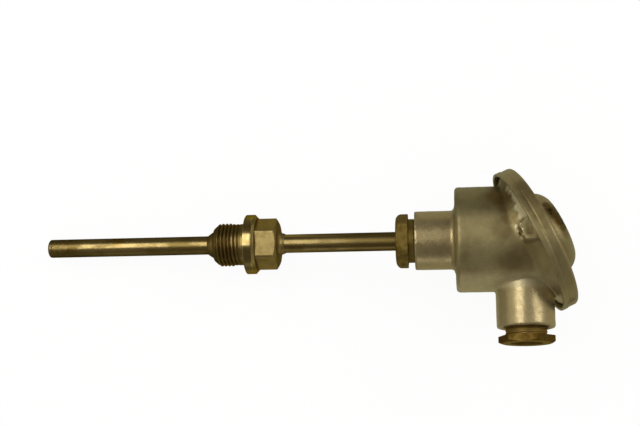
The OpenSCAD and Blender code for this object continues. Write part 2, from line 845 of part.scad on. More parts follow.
module lead_wires() {
    color("#c8c8c8") at_head() for (sx = [-1, 1]) for (sy = [-1, 1]) lead_wire(sx, sy);
}

module insert_flange() {
    color("#a8a8a0") at_head() translate([0, 0, floor_z]) difference() {
        cylinder(d = insert_flange_d, h = insert_flange_t);
        translate([0, 0, -cut]) cylinder(r = insert_r + thread_clear, h = insert_flange_t + 2 * cut);
        for (side = [-1, 1]) {
            translate([side * insert_screw_pitch / 2, 0, -cut])
                cylinder(r = insert_screw_d / 2 + pass_clear, h = insert_flange_t + 2 * cut);
            translate([0, side * block_screw_pitch / 2, -cut])
                cylinder(r = small_tap_r, h = insert_flange_t + 2 * cut);
        }
    }
}

module insert_screws() {
    color("#b4b4ac") at_head() for (side = [-1, 1])
        translate([side * insert_screw_pitch / 2, 0, screw_head_z]) rotate([0, 0, insert_slot_turn * side])
            cheese_screw(insert_screw_d, insert_head_d, insert_head_t, screw_head_z - floor_z + insert_thread_l);
}

// A coil spring with closed ends, swept along its helix from the foot up
module coil_spring(mean_r, wire_d, length, turns) {
    sides = 8;
    per_turn = 16;
    end_share = 0.11;
    steps = floor(turns * per_turn);
    rise = length - wire_d;
    points = [
        for (i = [0 : steps]) for (k = [0 : sides - 1])
            let (
                t = i / steps,
                turn = 360 * turns * t,
                side = 360 * k / sides,
                z = wire_d / 2 + rise * (t - sin(360 * t) * end_share),
                r = mean_r + wire_d / 2 * cos(side)
            )
            [r * cos(turn), r * sin(turn), z + wire_d / 2 * sin(side)]
    ];
    faces = [
        [for (k = [0 : sides - 1]) k],
        for (i = [0 : steps - 1]) for (k = [0 : sides - 1])
            [i * sides + k, (i + 1) * sides + k, (i + 1) * sides + (k + 1) % sides, i * sides + (k + 1) % sides],
        [for (k = [sides - 1 : -1 : 0]) steps * sides + k]
    ];
    polyhedron(points = points, faces = faces, convexity = 10);
}

module insert_springs() {
    color("#c0c0b8") at_head() for (side = [-1, 1])
        translate([side * insert_screw_pitch / 2, 0, block_z + face_gap / 2])
            coil_spring(spring_r, spring_wire, spring_l - face_gap, spring_turns);
}

// Terminal block

module each_bar() {
    for (sx = [-1, 1]) for (sy = [-1, 1])
        translate([sx * bar_row_pitch / 2, sy * bar_pitch / 2, 0]) children();
}

module each_bar_screw() {
    each_bar() for (side = [-1, 1]) translate([0, side * bar_screw_pitch / 2, 0]) children();
}

module terminal_block() {
    color("#e9e2cf") at_head() difference() {
        intersection() {
            translate([0, 0, block_z]) cylinder(d = block_d, h = block_h);
            translate([-block_w / 2, -block_d, block_z - cut]) cube([block_w, 2 * block_d, block_h + 2 * cut]);
        }
        translate([0, 0, block_z - cut]) cylinder(d = block_bore_d, h = block_h + 2 * cut);
        each_bar() translate([-bar_w / 2 - part_clear, -bar_l / 2 - part_clear, bar_z])
            cube([bar_w + 2 * part_clear, bar_l + 2 * part_clear, bar_seat + cut]);
        each_bar_screw() translate([0, 0, block_z + block_h / 3])
            cylinder(r = small_screw_d / 2 + pass_clear, h = block_h);
        for (side = [-1, 1]) translate([0, side * block_screw_pitch / 2, 0]) {
            translate([0, 0, block_z - cut]) cylinder(r = small_screw_d / 2 + pass_clear, h = block_h);
            translate([0, 0, block_head_z]) cylinder(r = block_head_d / 2 + pass_clear, h = block_h);
        }
    }
}

module block_screws() {
    color("#b4b4ac") at_head() for (side = [-1, 1])
        translate([0, side * block_screw_pitch / 2, block_head_z])
            cheese_screw(small_screw_d, block_head_d, block_head_t, block_head_z - floor_z - face_gap);
}

module terminal_bars() {
    color("#c9a35a") at_head() difference() {
        each_bar() translate([-bar_w / 2, -bar_l / 2, bar_z]) cube([bar_w, bar_l, bar_t]);
        each_bar_screw() translate([0, 0, bar_z - cut]) cylinder(r = small_tap_r, h = bar_t + 2 * cut);
    }
}

module terminal_screws() {
    color("#d0cdbf") at_head() each_bar_screw() translate([0, 0, bar_top_z])
        cheese_screw(small_screw_d, terminal_head_d, terminal_head_t, bar_t + block_h / 3);
}

protection_tube();
tip_plug();
process_fitting();
head_body();
neck_clamp_screw();
clamp_washer();
clamp_ring();
insert_screws();
insert_springs();
earth_screw();
earth_washer();
insert_tube();
sensing_element();
wire_insulator();
lead_wires();
insert_flange();
terminal_block();
block_screws();
terminal_bars();
terminal_screws();
lid();
lid_gasket();
lid_screws();
gland_washer();
cable_seal();
gland_screw();
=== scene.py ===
import json
import math

import bmesh
import bpy
import numpy as np
from mathutils import Matrix, Vector, noise


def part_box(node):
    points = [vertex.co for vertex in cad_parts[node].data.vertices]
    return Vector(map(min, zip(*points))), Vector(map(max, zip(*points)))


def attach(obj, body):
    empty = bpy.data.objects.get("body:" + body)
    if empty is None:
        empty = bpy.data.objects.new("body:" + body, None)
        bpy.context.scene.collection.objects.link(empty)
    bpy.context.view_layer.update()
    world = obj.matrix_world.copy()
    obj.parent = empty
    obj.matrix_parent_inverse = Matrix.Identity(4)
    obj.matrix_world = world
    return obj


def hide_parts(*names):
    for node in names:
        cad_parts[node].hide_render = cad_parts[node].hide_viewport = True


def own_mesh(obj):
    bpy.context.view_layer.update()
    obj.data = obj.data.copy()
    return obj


bl_info = {
    "name": "Thermometer Probe",
    "version": (1, 0, 0),
    "blender": (4, 5, 0),
    "location": "3D View > Sidebar > Probe",
    "description": "Dresses a resistance thermometer probe: stem, fitting, cast head, lid, gland and insert",
    "category": "Object",
}

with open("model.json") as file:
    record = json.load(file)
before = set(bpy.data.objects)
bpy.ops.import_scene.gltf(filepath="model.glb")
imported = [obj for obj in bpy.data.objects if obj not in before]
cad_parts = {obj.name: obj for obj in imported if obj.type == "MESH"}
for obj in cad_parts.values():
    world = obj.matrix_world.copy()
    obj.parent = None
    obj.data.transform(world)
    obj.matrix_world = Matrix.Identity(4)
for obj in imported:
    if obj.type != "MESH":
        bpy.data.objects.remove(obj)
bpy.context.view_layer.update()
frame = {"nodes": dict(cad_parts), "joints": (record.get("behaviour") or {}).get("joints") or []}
MM = 0.001
JOINTS = {joint["name"]: joint for joint in frame["joints"]}
LID_NORMAL = Vector(JOINTS["lid_lift"]["axis"]).normalized()
ENTRY_HEIGHT = JOINTS["gland_turn"]["pos_m"][2] / MM
# The middle of the lid's outer face lies this far above the middle of its gasket
LID_FACE_ABOVE_GASKET = 2.9
GASKET_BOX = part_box("lid_gasket")
LID_CENTRE = np.array((GASKET_BOX[0] + GASKET_BOX[1]) / 2 / MM + LID_NORMAL * LID_FACE_ABOVE_GASKET)
# The radius of the bore round the stem, of the pipe threads over their crests, and of the circle on
# which the lid's screws stand, in millimetres
STEM_BORE = 4.55
PIPE_CREST = 10.4775
LID_SCREW_CIRCLE = 29.6
# The light and the dark tone of the small steel and brass pieces
WASHER_STEEL = ("#b9b5a8", "#807a68")
SMALL_BRASS = ("#c9a55c", "#8a6a30")


def shade(code):
    """A colour as it looks on a screen, as the linear values that a shader takes."""
    values = [int(code[i : i + 2], 16) / 255 for i in (1, 3, 5)]
    return [v / 12.92 if v <= 0.04045 else ((v + 0.055) / 1.055) ** 2.4 for v in values]


def full(colour):
    """The four values of a colour that is given as a code or as three values."""
    return (*(shade(colour) if isinstance(colour, str) else colour), 1)


def length_property(name, description, default):
    return bpy.props.FloatProperty(
        name=name, description=description, default=default * MM, min=0, soft_max=0.3, unit="LENGTH",
        subtype="DISTANCE", precision=5,
    )


def vector_property(name, description, default, **more):
    return bpy.props.FloatVectorProperty(
        name=name, description=description, default=default, size=len(default), **more
    )


def colour_property(name, description, code):
    return vector_property(name, description, shade(code), min=0, max=1, subtype="COLOR")


# --- settings


class StemSettings(bpy.types.PropertyGroup):
    steel: colour_property("Stem steel", "Colour of the drawn stem", "#b19b66")
    steel_dark: colour_property("Stem dulling", "Colour of the dull patches on the stem", "#84703f")
    heat_tint: colour_property("Heat tint", "Straw colour that heat has left on the stem", "#8f6a1c")
    tip_rounding: length_property("Tip rounding", "Rounding of the stem's welded end", 0.9)


class FittingSettings(bpy.types.PropertyGroup):
    steel: colour_property("Fitting steel", "Colour of the turned fitting", "#bfa970")
    painted_shade_colour: colour_property("Painted hollow shade", "Colour of the shade painted in the threads and corners", "#3d3013")
    thread_pitch: length_property("Pipe thread pitch", "Pitch of the process and neck threads", 1.814)
    thread_depth: length_property("Pipe thread depth", "Depth of the process and neck threads", 1.1)
    nut: colour_property("Nut metal", "Colour of the clamp screw and the gland screw", "#84703c")
    gland_pitch: length_property("Gland thread pitch", "Pitch of the cable gland's thread", 1.5)
    gland_depth: length_property("Gland thread depth", "Depth of the cable gland's thread", 0.9)


class HeadSettings(bpy.types.PropertyGroup):
    casting: colour_property("Casting", "Colour of the cast head and lid", "#a99c6f")
    casting_dark: colour_property("Casting dulling", "Colour of the dull patches on the casting", "#8c7a52")
    machined: colour_property("Machined casting", "Colour of the casting where it has been turned", "#b7a478")
    stain_and_shade: colour_property("Stain and painted shade", "Colour of the brown stains and of some painted shade", "#5a4310")
    rim_rounds: bpy.props.IntProperty(
        name="Rim rounding", description="How often the flange's rim and the lugs are smoothed",
        default=2, min=0, max=60,
    )
    skin_size: length_property("Skin size", "Size of the faces that the cast skin is made of", 0.55)
    gasket: colour_property("Rubber", "Colour of the gasket and the cable seal", "#26241f")


class InsertSettings(bpy.types.PropertyGroup):
    ceramic: colour_property("Ceramic", "Colour of the terminal block and the insulator", "#e6dcc4")
    terminal: colour_property("Terminal brass", "Colour of the terminal bars", "#c9a55c")
    plated: colour_property("Plated screws", "Colour of the small screws and washers", "#c3c0b6")
    spring_wire: length_property("Spring wire", "Wire diameter of the insert springs", 0.8)
    lead_wire: length_property("Lead wire", "Diameter of a lead wire", 0.5)


class StageSettings(bpy.types.PropertyGroup):
    camera_place: vector_property(
        "Camera place", "Where the camera stands", (0.10114, -0.4693, 0.09519), subtype="TRANSLATION",
        unit="LENGTH",
    )
    camera_turn: vector_property(
        "Camera turn", "How the camera is turned", [math.radians(a) for a in (11.752, -82.819, 91.998)],
        subtype="EULER",
    )
    camera_nudge: vector_property(
        "Camera nudge", "How far the view is shifted across and up", (-0.0001, 0.0014)
    )
    lens: bpy.props.FloatProperty(
        name="Lens", description="Focal length of the camera in millimetres", default=56.25, min=10, max=300
    )
    sheet: colour_property("Floor", "Colour of the paper that the probe lies on", "#f4f3f0")
    mirrored_sheet: colour_property("Mirrored floor", "Tone of the paper as the metal mirrors it", "#a5a385")
    lamp_power: bpy.props.FloatProperty(
        name="Lamp power", description="Power of the main lamp", default=2.6, min=0, max=50, unit="POWER"
    )


# --- making meshes


def smooth(mesh, sharp=32):
    """Shades a mesh smooth, but for its edges above an angle in degrees."""
    for face in mesh.polygons:
        face.use_smooth = True
    if sharp:
        mesh.set_sharp_from_angle(angle=math.radians(sharp))


def coat(mesh, finish):
    """Gives a whole mesh one finish."""
    mesh.materials.clear()
    mesh.materials.append(finish)
    for face in mesh.polygons:
        face.material_index = 0


def add_thing(name, data):
    """Puts a mesh, a lamp or a camera into the scene."""
    thing = bpy.data.objects.new(name, data)
    bpy.context.scene.collection.objects.link(thing)
    return thing


def add_piece(name, mesh, finish, sharp=32):
    """Puts a mesh into the scene as a piece, smooth but for its sharp edges."""
    piece = add_thing(name, mesh)
    smooth(mesh, sharp)
    coat(mesh, finish)
    return piece


def rework(mesh, change):
    """Runs one of the mesh operations on a mesh."""
    shape = bmesh.new()
    shape.from_mesh(mesh)
    change(shape)
    shape.to_mesh(mesh)
    shape.free()


def mesh_from(name, points, faces):
    """A mesh whose faces all look outward."""
    mesh = bpy.data.meshes.new(name)
    mesh.from_pydata([tuple(p) for p in points], [], faces)
    rework(mesh, lambda shape: bmesh.ops.recalc_face_normals(shape, faces=shape.faces))
    return mesh


def span(node, axis):
    """Where a node starts and ends along an axis, in millimetres."""
    return [corner[axis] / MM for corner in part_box(node)]


def at(*places, mark=None, base=0.0):
    """Rows of an outline at the given (radius, height), with the heights counted from a base."""
    return [(radius, base + height, mark) for radius, height in places]


def rows(spacing, *ends, mark=None):
    """Rows no further apart than the spacing, along lines that each have two ends, (radius, height)."""
    found = []
    for start, end in zip(ends[::2], ends[1::2]):
        count = max(1, math.ceil(math.dist(start, end) / spacing))
        for i in range(count + 1):
            found.append((*[a + (b - a) * i / count for a, b in zip(start, end)], mark))
    return found


def arc(centre, radius, start, end, count=8, mark=None):
    """Rows along an arc, from one angle to another, in degrees."""
    angles = np.radians(np.linspace(start, end, count + 1))
    return [(centre[0] + radius * math.cos(a), centre[1] + radius * math.sin(a), mark) for a in angles]


def between(rings):
    """The faces from each ring of points to the next. A ring may be a single point."""
    faces = []
    for low, high in zip(rings, rings[1:]):
        for i in range(max(len(low), len(high))):
            j = i + 1
            corners = (low[i % len(low)], low[j % len(low)], high[j % len(high)], high[i % len(high)])
            face = tuple(dict.fromkeys(corners))
            if len(face) > 2:
                faces.append(face)
    return faces


def turned(name, outline, finish, reach=None, sides=96, hollow=True, place=None, sharp=32):
    """A piece turned on a lathe. The outline's rows are (radius, height, mark) in millimetres; reach
    gives the real radius all round for a row with a mark. A hollow piece's outline closes on itself."""
    turn = np.linspace(0, 2 * math.pi, sides, endpoint=False)
    points, rings = [], []
    for radius, height, mark in outline:
        if radius < 1e-6:
            rings.append([len(points)])
            points.append((0, 0, height))
            continue
        all_round = reach(mark, radius, height, turn) if mark else np.full(sides, radius)
        rings.append(list(range(len(points), len(points) + sides)))
        points.extend(zip(all_round * np.cos(turn), all_round * np.sin(turn), np.full(sides, height)))
    mesh = mesh_from(name, points, between(rings + rings[:1] if hollow else rings))
    mesh.transform((place or Matrix()) @ Matrix.Scale(MM, 4))
    return add_piece(name, mesh, finish, sharp)


def hexagon(across, turn_degrees, turn, corner):
    """How far a hexagon's side is from its centre all round, its corners worn by a little."""
    flat = across / 2
    around = (turn - math.radians(turn_degrees)) % (math.pi / 3) - math.pi / 6
    return np.minimum(flat / np.cos(around), flat / math.cos(math.pi / 6) - corner)


def thread(crest, depth, pitch, height, turn, fade=1):
    """How far a rounded right-hand thread reaches all round at one height."""
    phase = height / pitch - turn / (2 * math.pi)
    wave = 0.5 - 0.5 * np.cos(2 * math.pi * phase)
    return crest - depth * fade * wave**1.15


def rise(value, start, length):
    """0 before the start and 1 past the length after it."""
    return min(1.0, max(0.0, (value - start) / length))


def screw_reach(crest, depth, pitch, fade, across, turn_degrees, worn, shift=0.0):
    """The reach of a turned piece with a thread, whose depth fade(height) takes from 0 to 1, and with a
    hexagon. Grooves are shallow thread marks, and all other marked rows are ripples in a weld."""

    def reach(mark, radius, height, turn):
        if mark == "thread":
            return np.minimum(radius, thread(crest, depth, pitch, height + shift, turn, fade(height)))
        if mark == "groove":
            return np.minimum(radius, thread(radius, 0.3, pitch, height, turn))
        if mark == "hexagon":
            return np.minimum(radius, hexagon(across, turn_degrees, turn, worn))
        ripple = np.sin(turn * 23 + height * 9) + 0.8 * np.sin(turn * 9 - height * 4)
        return radius + 0.02 * ripple

    return reach


def swept(points, radius, sides=12):
    """Rings of a tube along a line of points, with the tube's faces."""
    points = [Vector(p) for p in points]
    side = Vector((1, 0, 0)) if abs((points[1] - points[0]).normalized().x) < 0.9 else Vector((0, 1, 0))
    rings, places = [], []
    for i, point in enumerate(points):
        ahead = (points[min(i + 1, len(points) - 1)] - points[max(i - 1, 0)]).normalized()
        side = (side - ahead * side.dot(ahead)).normalized()
        other = ahead.cross(side)
        rings.append(list(range(len(places), len(places) + sides)))
        for k in range(sides):
            a = 2 * math.pi * k / sides
            places.append(point + (side * math.cos(a) + other * math.sin(a)) * radius)
    return places, [tuple(reversed(rings[0])), tuple(rings[-1])] + between(rings)


def joined(parts):
    """Several (points, faces) as one."""
    points, faces = [], []
    for part_points, part_faces in parts:
        start = len(points)
        points.extend(part_points)
        faces.extend(tuple(i + start for i in face) for face in part_faces)
    return points, faces


def settle(piece):
    """Applies a piece's modifiers."""
    graph = bpy.context.evaluated_depsgraph_get()
    mesh = bpy.data.meshes.new_from_object(piece.evaluated_get(graph))
    old = piece.data
    piece.modifiers.clear()
    piece.data = mesh
    bpy.data.meshes.remove(old)


def carve(piece, cutter):
    """Cuts one piece out of another and removes the cutter."""
    cut = piece.modifiers.new("cut", "BOOLEAN")
    cut.operation = "DIFFERENCE"
    cut.solver = "EXACT"
    cut.object = cutter
    settle(piece)
    bpy.data.objects.remove(cutter)
    smooth(piece.data)


def block(name, size, middle, place, finish):
    """A plain block, used only to cut with. Its sizes are in millimetres."""
    mesh = bpy.data.meshes.new(name)
    rework(mesh, lambda shape: bmesh.ops.create_cube(shape, size=1))
    stretch = Matrix.Diagonal((*[s * MM for s in size], 1))
    mesh.transform(place @ Matrix.Translation(Vector(middle) * MM) @ stretch)
    return add_piece(name, mesh, finish, 0)


def add_smoothing(piece, rounds, group=""):
    """Runs the edges of a piece soft, or of one of its groups of points."""
    soft = piece.modifiers.new("soft edges", "SMOOTH")
    soft.factor = 0.5
    soft.iterations = rounds
    soft.vertex_group = group


def cast_skin(node, name, finish, size, rounds):
    """A cast copy of a node: its faces made even and its edges run soft."""
    mesh = frame["nodes"][node].data.copy()
    mesh.name = name
    rework(mesh, lambda shape: bmesh.ops.remove_doubles(shape, verts=shape.verts, dist=1e-7))
    piece = add_piece(name, mesh, finish, 0)
    skin = piece.modifiers.new("skin", "REMESH")
    skin.mode = "VOXEL"
    skin.voxel_size = size
    skin.use_smooth_shade = True
    add_smoothing(piece, rounds)
    settle(piece)
    coat(piece.data, finish)
    return piece


def near_rim(places):
    """Picks the points of the head that belong to its flange's rim or to a lug."""
    seat, rim_foot, rim_start, lug_foot, lug_start = -4.6, -11, 27.6, -15, 23.5
    heights = (places - LID_CENTRE) @ np.array(LID_NORMAL)
    across = np.linalg.norm(places - LID_CENTRE - heights[:, None] * np.array(LID_NORMAL), axis=1)
    rim = (heights > rim_foot) & (across > rim_start)
    lug = (heights > lug_foot) & (np.abs(places[:, 1]) > lug_start)
    return (heights < seat) & (rim | lug)


def read(mesh, what):
    """The places or the normals of a mesh's points."""
    values = np.zeros(len(mesh.vertices) * 3)
    mesh.vertices.foreach_get(what, values)
    return values.reshape(-1, 3)


def soften(piece, pick, rounds):
    """Smooths the points of a piece that pick(places) chooses, with places in millimetres."""
    picked = pick(read(piece.data, "co") / MM)
    group = piece.vertex_groups.new(name="soft")
    group.add([int(i) for i in np.nonzero(picked)[0]], 1.0, "REPLACE")
    add_smoothing(piece, rounds, "soft")
    settle(piece)
    piece.vertex_groups.clear()


def push(piece, amount):
    """Moves each point along its normal by amount(places), all in millimetres."""
    places = read(piece.data, "co") / MM
    places += read(piece.data, "normal") * amount(places)[:, None]
    piece.data.vertices.foreach_set("co", (places * MM).ravel())
    piece.data.update()


def lumps(places, size, seed=0.0):
    """Soft random lumps from -1 to 1, of the given size in millimetres."""
    shift = Vector((seed, seed * 2.3, seed * 3.7))
    return np.array([noise.noise(Vector(p) / size + shift) for p in places])


def lid_place():
    """The lid's own frame: its outer face is the plane of zero height."""
    along = Vector((0, 1, 0)).cross(LID_NORMAL)
    turn = Matrix((along, Vector((0, 1, 0)), LID_NORMAL)).transposed().to_4x4()
    return Matrix.Translation(Vector(LID_CENTRE) * MM) @ turn


def dress(finish, *nodes):
    """Gives nodes that keep their own shape a better finish."""
    for node in nodes:
        coat(frame["nodes"][node].data, finish)


def take_over(piece, body, slot, *nodes):
    """Gives a finished piece its body, and hides the nodes that it stands for. The slot is not used."""
    if not piece.data.polygons:
        raise RuntimeError(f"{piece.name} came out with no faces")
    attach(piece, body)
    if nodes:
        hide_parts(*nodes)


# --- finishes


class Graph:
    """The shader nodes of a material or of the world."""

    def __init__(self, owner):
        owner.use_nodes = True
        self.owner = owner
        self.nodes = owner.node_tree.nodes
        self.links = owner.node_tree.links
        self.nodes.clear()

    def put(self, source, socket):
        """Links a socket, or sets a plain value."""
        if isinstance(source, bpy.types.NodeSocket):
            self.links.new(source, socket)
        else:
            socket.default_value = source

    def add(self, kind, inputs=None, **settings):
        """A node with its settings, and with what goes into its sockets."""
        node = self.nodes.new(kind)
        for key, value in settings.items():
            setattr(node, key, value)
        for key, value in (inputs or {}).items():
            self.put(value, node.inputs[key])
        return node

    def maths(self, operation, *values):
        """The outcome of one of the arithmetic nodes."""
        return self.add("ShaderNodeMath", dict(enumerate(values)), operation=operation).outputs[0]

    def blend(self, share, first, second):
        """Two shaders as one, the second by its share."""
        return self.add("ShaderNodeMixShader", {0: share, 1: first, 2: second}).outputs[0]

    def ramp(self, value, low, high, stops):
        """A colour for each place in a value's range, from stops that are a place and its colour."""
        along = self.add("ShaderNodeMapRange", {"Value": value, "From Min": low, "From Max": high})
        colours = self.add("ShaderNodeValToRGB", {"Fac": along.outputs["Result"]})
        steps = colours.color_ramp.elements
        while len(steps) < len(stops):
            steps.new(0.5)
        for step, (place, colour) in zip(steps, stops):
            step.position = (place - low) / (high - low)
            step.color = full(colour)
        return colours.outputs["Color"]

    def rays(self):
        """1 for rays that reach the eye straight or through glass, and 1 for rays that metal mirrors."""
        path = self.add("ShaderNodeLightPath").outputs
        seen = self.maths("MAXIMUM", path["Is Camera Ray"], path["Is Transmission Ray"])
        return seen, path["Is Glossy Ray"]


class Finish(Graph):
    """A material under construction. Its textures lie in the probe's own space and ride with the piece.
    It starts as one colour, and each tone is laid over what is there."""

    def __init__(self, name, colour, metal=1.0):
        super().__init__(bpy.data.materials.new(name))
        self.colour = full(colour)
        self.shader = self.add("ShaderNodeBsdfPrincipled", {"Metallic": metal})
        self.add("ShaderNodeOutputMaterial", {"Surface": self.shader.outputs["BSDF"]})
        self.place = self.add("ShaderNodeTexCoord").outputs["Object"]

    def times(self, first, second):
        """One value times another, as plus() adds them and most() takes the greatest."""
        return self.maths("MULTIPLY", first, second)

    def plus(self, first, second):
        return self.maths("ADD", first, second)

    def most(self, first, *others):
        for other in others:
            first = self.maths("MAXIMUM", first, other)
        return first

    def range(self, source, low, high, out_low=0.0, out_high=1.0):
        """Takes a value from one range to another, held at both ends."""
        inputs = {"Value": source, "From Min": low, "From Max": high, "To Min": out_low, "To Max": out_high}
        node = self.add("ShaderNodeMapRange", inputs, clamp=True, interpolation_type="SMOOTHSTEP")
        return node.outputs["Result"]

    def grain(self, size, detail=3.0, rough=0.55, stretch=(1, 1, 1), shift=0.0, warp=0.0):
        """Random grain of a size in millimetres, stretched by the given factors."""
        place = self.add("ShaderNodeMapping", {
            "Vector": self.place, "Location": (shift, shift * 1.7, shift * 0.6),
            "Scale": [1 / (size * MM * s) for s in stretch],
        })
        texture = self.add("ShaderNodeTexNoise", {
            "Vector": place.outputs["Vector"], "Scale": 1, "Detail": detail, "Roughness": rough,
            "Distortion": warp,
        })
        return texture.outputs["Fac"]

    def near(self, point, reach, ragged=0.0, size=3.0):
        """1 at a point in millimetres, 0 beyond its reach, with a ragged edge."""
        middle = [c * MM for c in point]
        distance = self.add("ShaderNodeVectorMath", {0: self.place, 1: middle}, operation="DISTANCE")
        edge = self.times(self.maths("SUBTRACT", self.grain(size, shift=point[0]), 0.5), ragged * MM)
        return self.range(self.plus(distance.outputs["Value"], edge), reach * 0.35 * MM, reach * MM, 1, 0)

    def beyond(self, axis, start, end):
        """0 before the start and 1 past the end, both in millimetres along an axis."""
        split = self.add("ShaderNodeSeparateXYZ", {0: self.place})
        low, high, out = (start, end, (0, 1)) if start < end else (end, start, (1, 0))
        return self.range(split.outputs[axis], low * MM, high * MM, *out)

    def painted_hollow_shade(self, reach, start, end, strength):
        """How much painted shade a spot gets for lying in a corner or a hollow, up to a strength."""
        shaded = self.add("ShaderNodeAmbientOcclusion", {"Distance": reach * MM}, samples=8)
        return self.range(shaded.outputs["AO"], start, end, strength, 0)

    def tone(self, share, colour, strength=None):
        """Lays a colour over the finish, by a share of a strength."""
        if strength is not None:
            share = self.times(share, strength)
        node = self.add("ShaderNodeMix", data_type="RGBA")
        sockets = {s.identifier: s for s in node.inputs}
        self.put(share, sockets["Factor_Float"])
        self.put(self.colour, sockets["A_Color"])
        self.put(full(colour), sockets["B_Color"])
        self.colour = next(s for s in node.outputs if s.identifier == "Result_Color")

    def patchy(self, texture, low, high, strength, colour):
        """Lays a colour over the finish where a texture is high."""
        self.tone(self.range(texture, low, high, 0, strength), colour)

    def relief(self, source, depth, rounding=0.0):
        """Bumps from a texture, over edges rounded by so many millimetres."""
        bump = self.add("ShaderNodeBump", {"Distance": depth * MM, "Strength": 1, "Height": source})
        if rounding:
            bevel = self.add("ShaderNodeBevel", {"Radius": rounding * MM}, samples=4)
            self.put(bevel.outputs["Normal"], bump.inputs["Normal"])
        self.put(bump.outputs["Normal"], self.shader.inputs["Normal"])

    def done(self, roughness, edge="#ffffff"):
        """The material, with its roughness and its tint where it is seen at a slant."""
        inputs = {"Base Color": self.colour, "Roughness": roughness, "Specular Tint": full(edge)}
        for key, value in inputs.items():
            self.put(value, self.shader.inputs[key])
        return self.owner


def drawn_steel(settings):
    """The stem: drawn lengthwise, dulled in patches, with a straw tint where it has been hot."""
    finish = Finish("drawn stem steel", settings.steel)
    streaks = finish.grain(0.35, 3, 0.6, (1, 1, 60))
    patches = finish.grain(7, 4, 0.6, (1, 1, 2.2), 3.1)
    specks = finish.grain(0.7, 2, 0.6, shift=5.0)
    tip = finish.beyond("Z", -80, -92)
    near_head = finish.beyond("Z", 38, 56)
    dull = finish.most(
        finish.range(patches, 0.42, 0.66), finish.times(tip, 0.8), finish.times(near_head, 0.9)
    )
    mottled = finish.range(specks, 0.5, 0.68, 0, 0.7)
    finish.tone(dull, settings.steel_dark)
    finish.tone(finish.times(mottled, finish.plus(tip, 0.15)), "#57461f")
    finish.tone(finish.near((-3.0, -3.6, -64), 4.6, 4, 3), settings.heat_tint, 0.6)
    finish.relief(finish.plus(finish.times(streaks, 0.15), patches), 0.02)
    rough = finish.plus(finish.range(dull, 0, 1, 0.23, 0.34), finish.range(streaks, 0.3, 0.7, 0, 0.08))
    return finish.done(rough, "#a8935c")


def turned_steel(settings):
    """The fitting: turned, a little blotched, with painted shade in the thread's roots and in the corners."""
    finish = Finish("turned fitting steel", settings.steel)
    patches = finish.grain(4, 4, 0.6, shift=1.3)
    specks = finish.grain(0.6, 2, 0.6, shift=6.0)
    threads = finish.beyond("Z", -0.6, -2.2)
    collar = finish.times(finish.beyond("Z", -0.6, 0), finish.beyond("Z", 4.6, 4.2))
    milled = finish.beyond("Z", 4.6, 5.6)
    finish.patchy(patches, 0.4, 0.7, 0.5, "#94804a")
    finish.patchy(specks, 0.58, 0.72, 0.3, "#6b5626")
    finish.tone(threads, "#6a5322", 0.62)
    finish.tone(milled, "#97804c", 0.42)
    # Painted shade in the thread's roots and in the corners
    finish.tone(finish.painted_hollow_shade(0.8, 0.3, 0.85, 0.8), settings.painted_shade_colour)
    finish.relief(patches, 0.015, 0.1)
    rough = finish.plus(finish.range(patches, 0.3, 0.7, 0.24, 0.34), finish.times(threads, 0.1))
    rough = finish.plus(rough, finish.times(milled, 0.14))
    return finish.done(finish.maths("SUBTRACT", rough, finish.times(collar, 0.1)), "#b09a5e")


def nut_metal(settings, name, metal, dulling):
    """The clamp screw and the gland screw: dulled brass with darker patches and painted shade in its corners.
    The tones along X reach the gland screw alone: it is darker outside the head, and lighter over its thread
    and at its end."""
    finish = Finish(name, settings.nut, metal)
    patches = finish.grain(3.5, 4, 0.6, shift=2.0)
    specks = finish.grain(0.5, 2, 0.6, shift=8.0)
    # A lighter band over the gland screw's thread
    lighter_thread = finish.times(finish.beyond("X", 41, 42), finish.beyond("X", 46, 45.6))
    finish.tone(finish.range(patches, 0.4, 0.68, dulling, 1), "#63501f")
    finish.tone(finish.beyond("X", 40, 42), "#5c4115", 0.6)
    finish.tone(finish.beyond("X", 49.2, 49.45), "#a8945a", 0.7)
    finish.tone(lighter_thread, "#b09252", 0.7)
    finish.patchy(specks, 0.58, 0.75, 0.4, "#4a3813")
    # Painted shade in the corners
    finish.tone(finish.painted_hollow_shade(1.4, 0.2, 0.85, 0.4), settings.painted_shade_colour)
    finish.relief(finish.plus(patches, finish.times(specks, 0.4)), 0.05, 0.2)
    return finish.done(finish.range(patches, 0.3, 0.7, 0.4, 0.55), "#b39c5a")


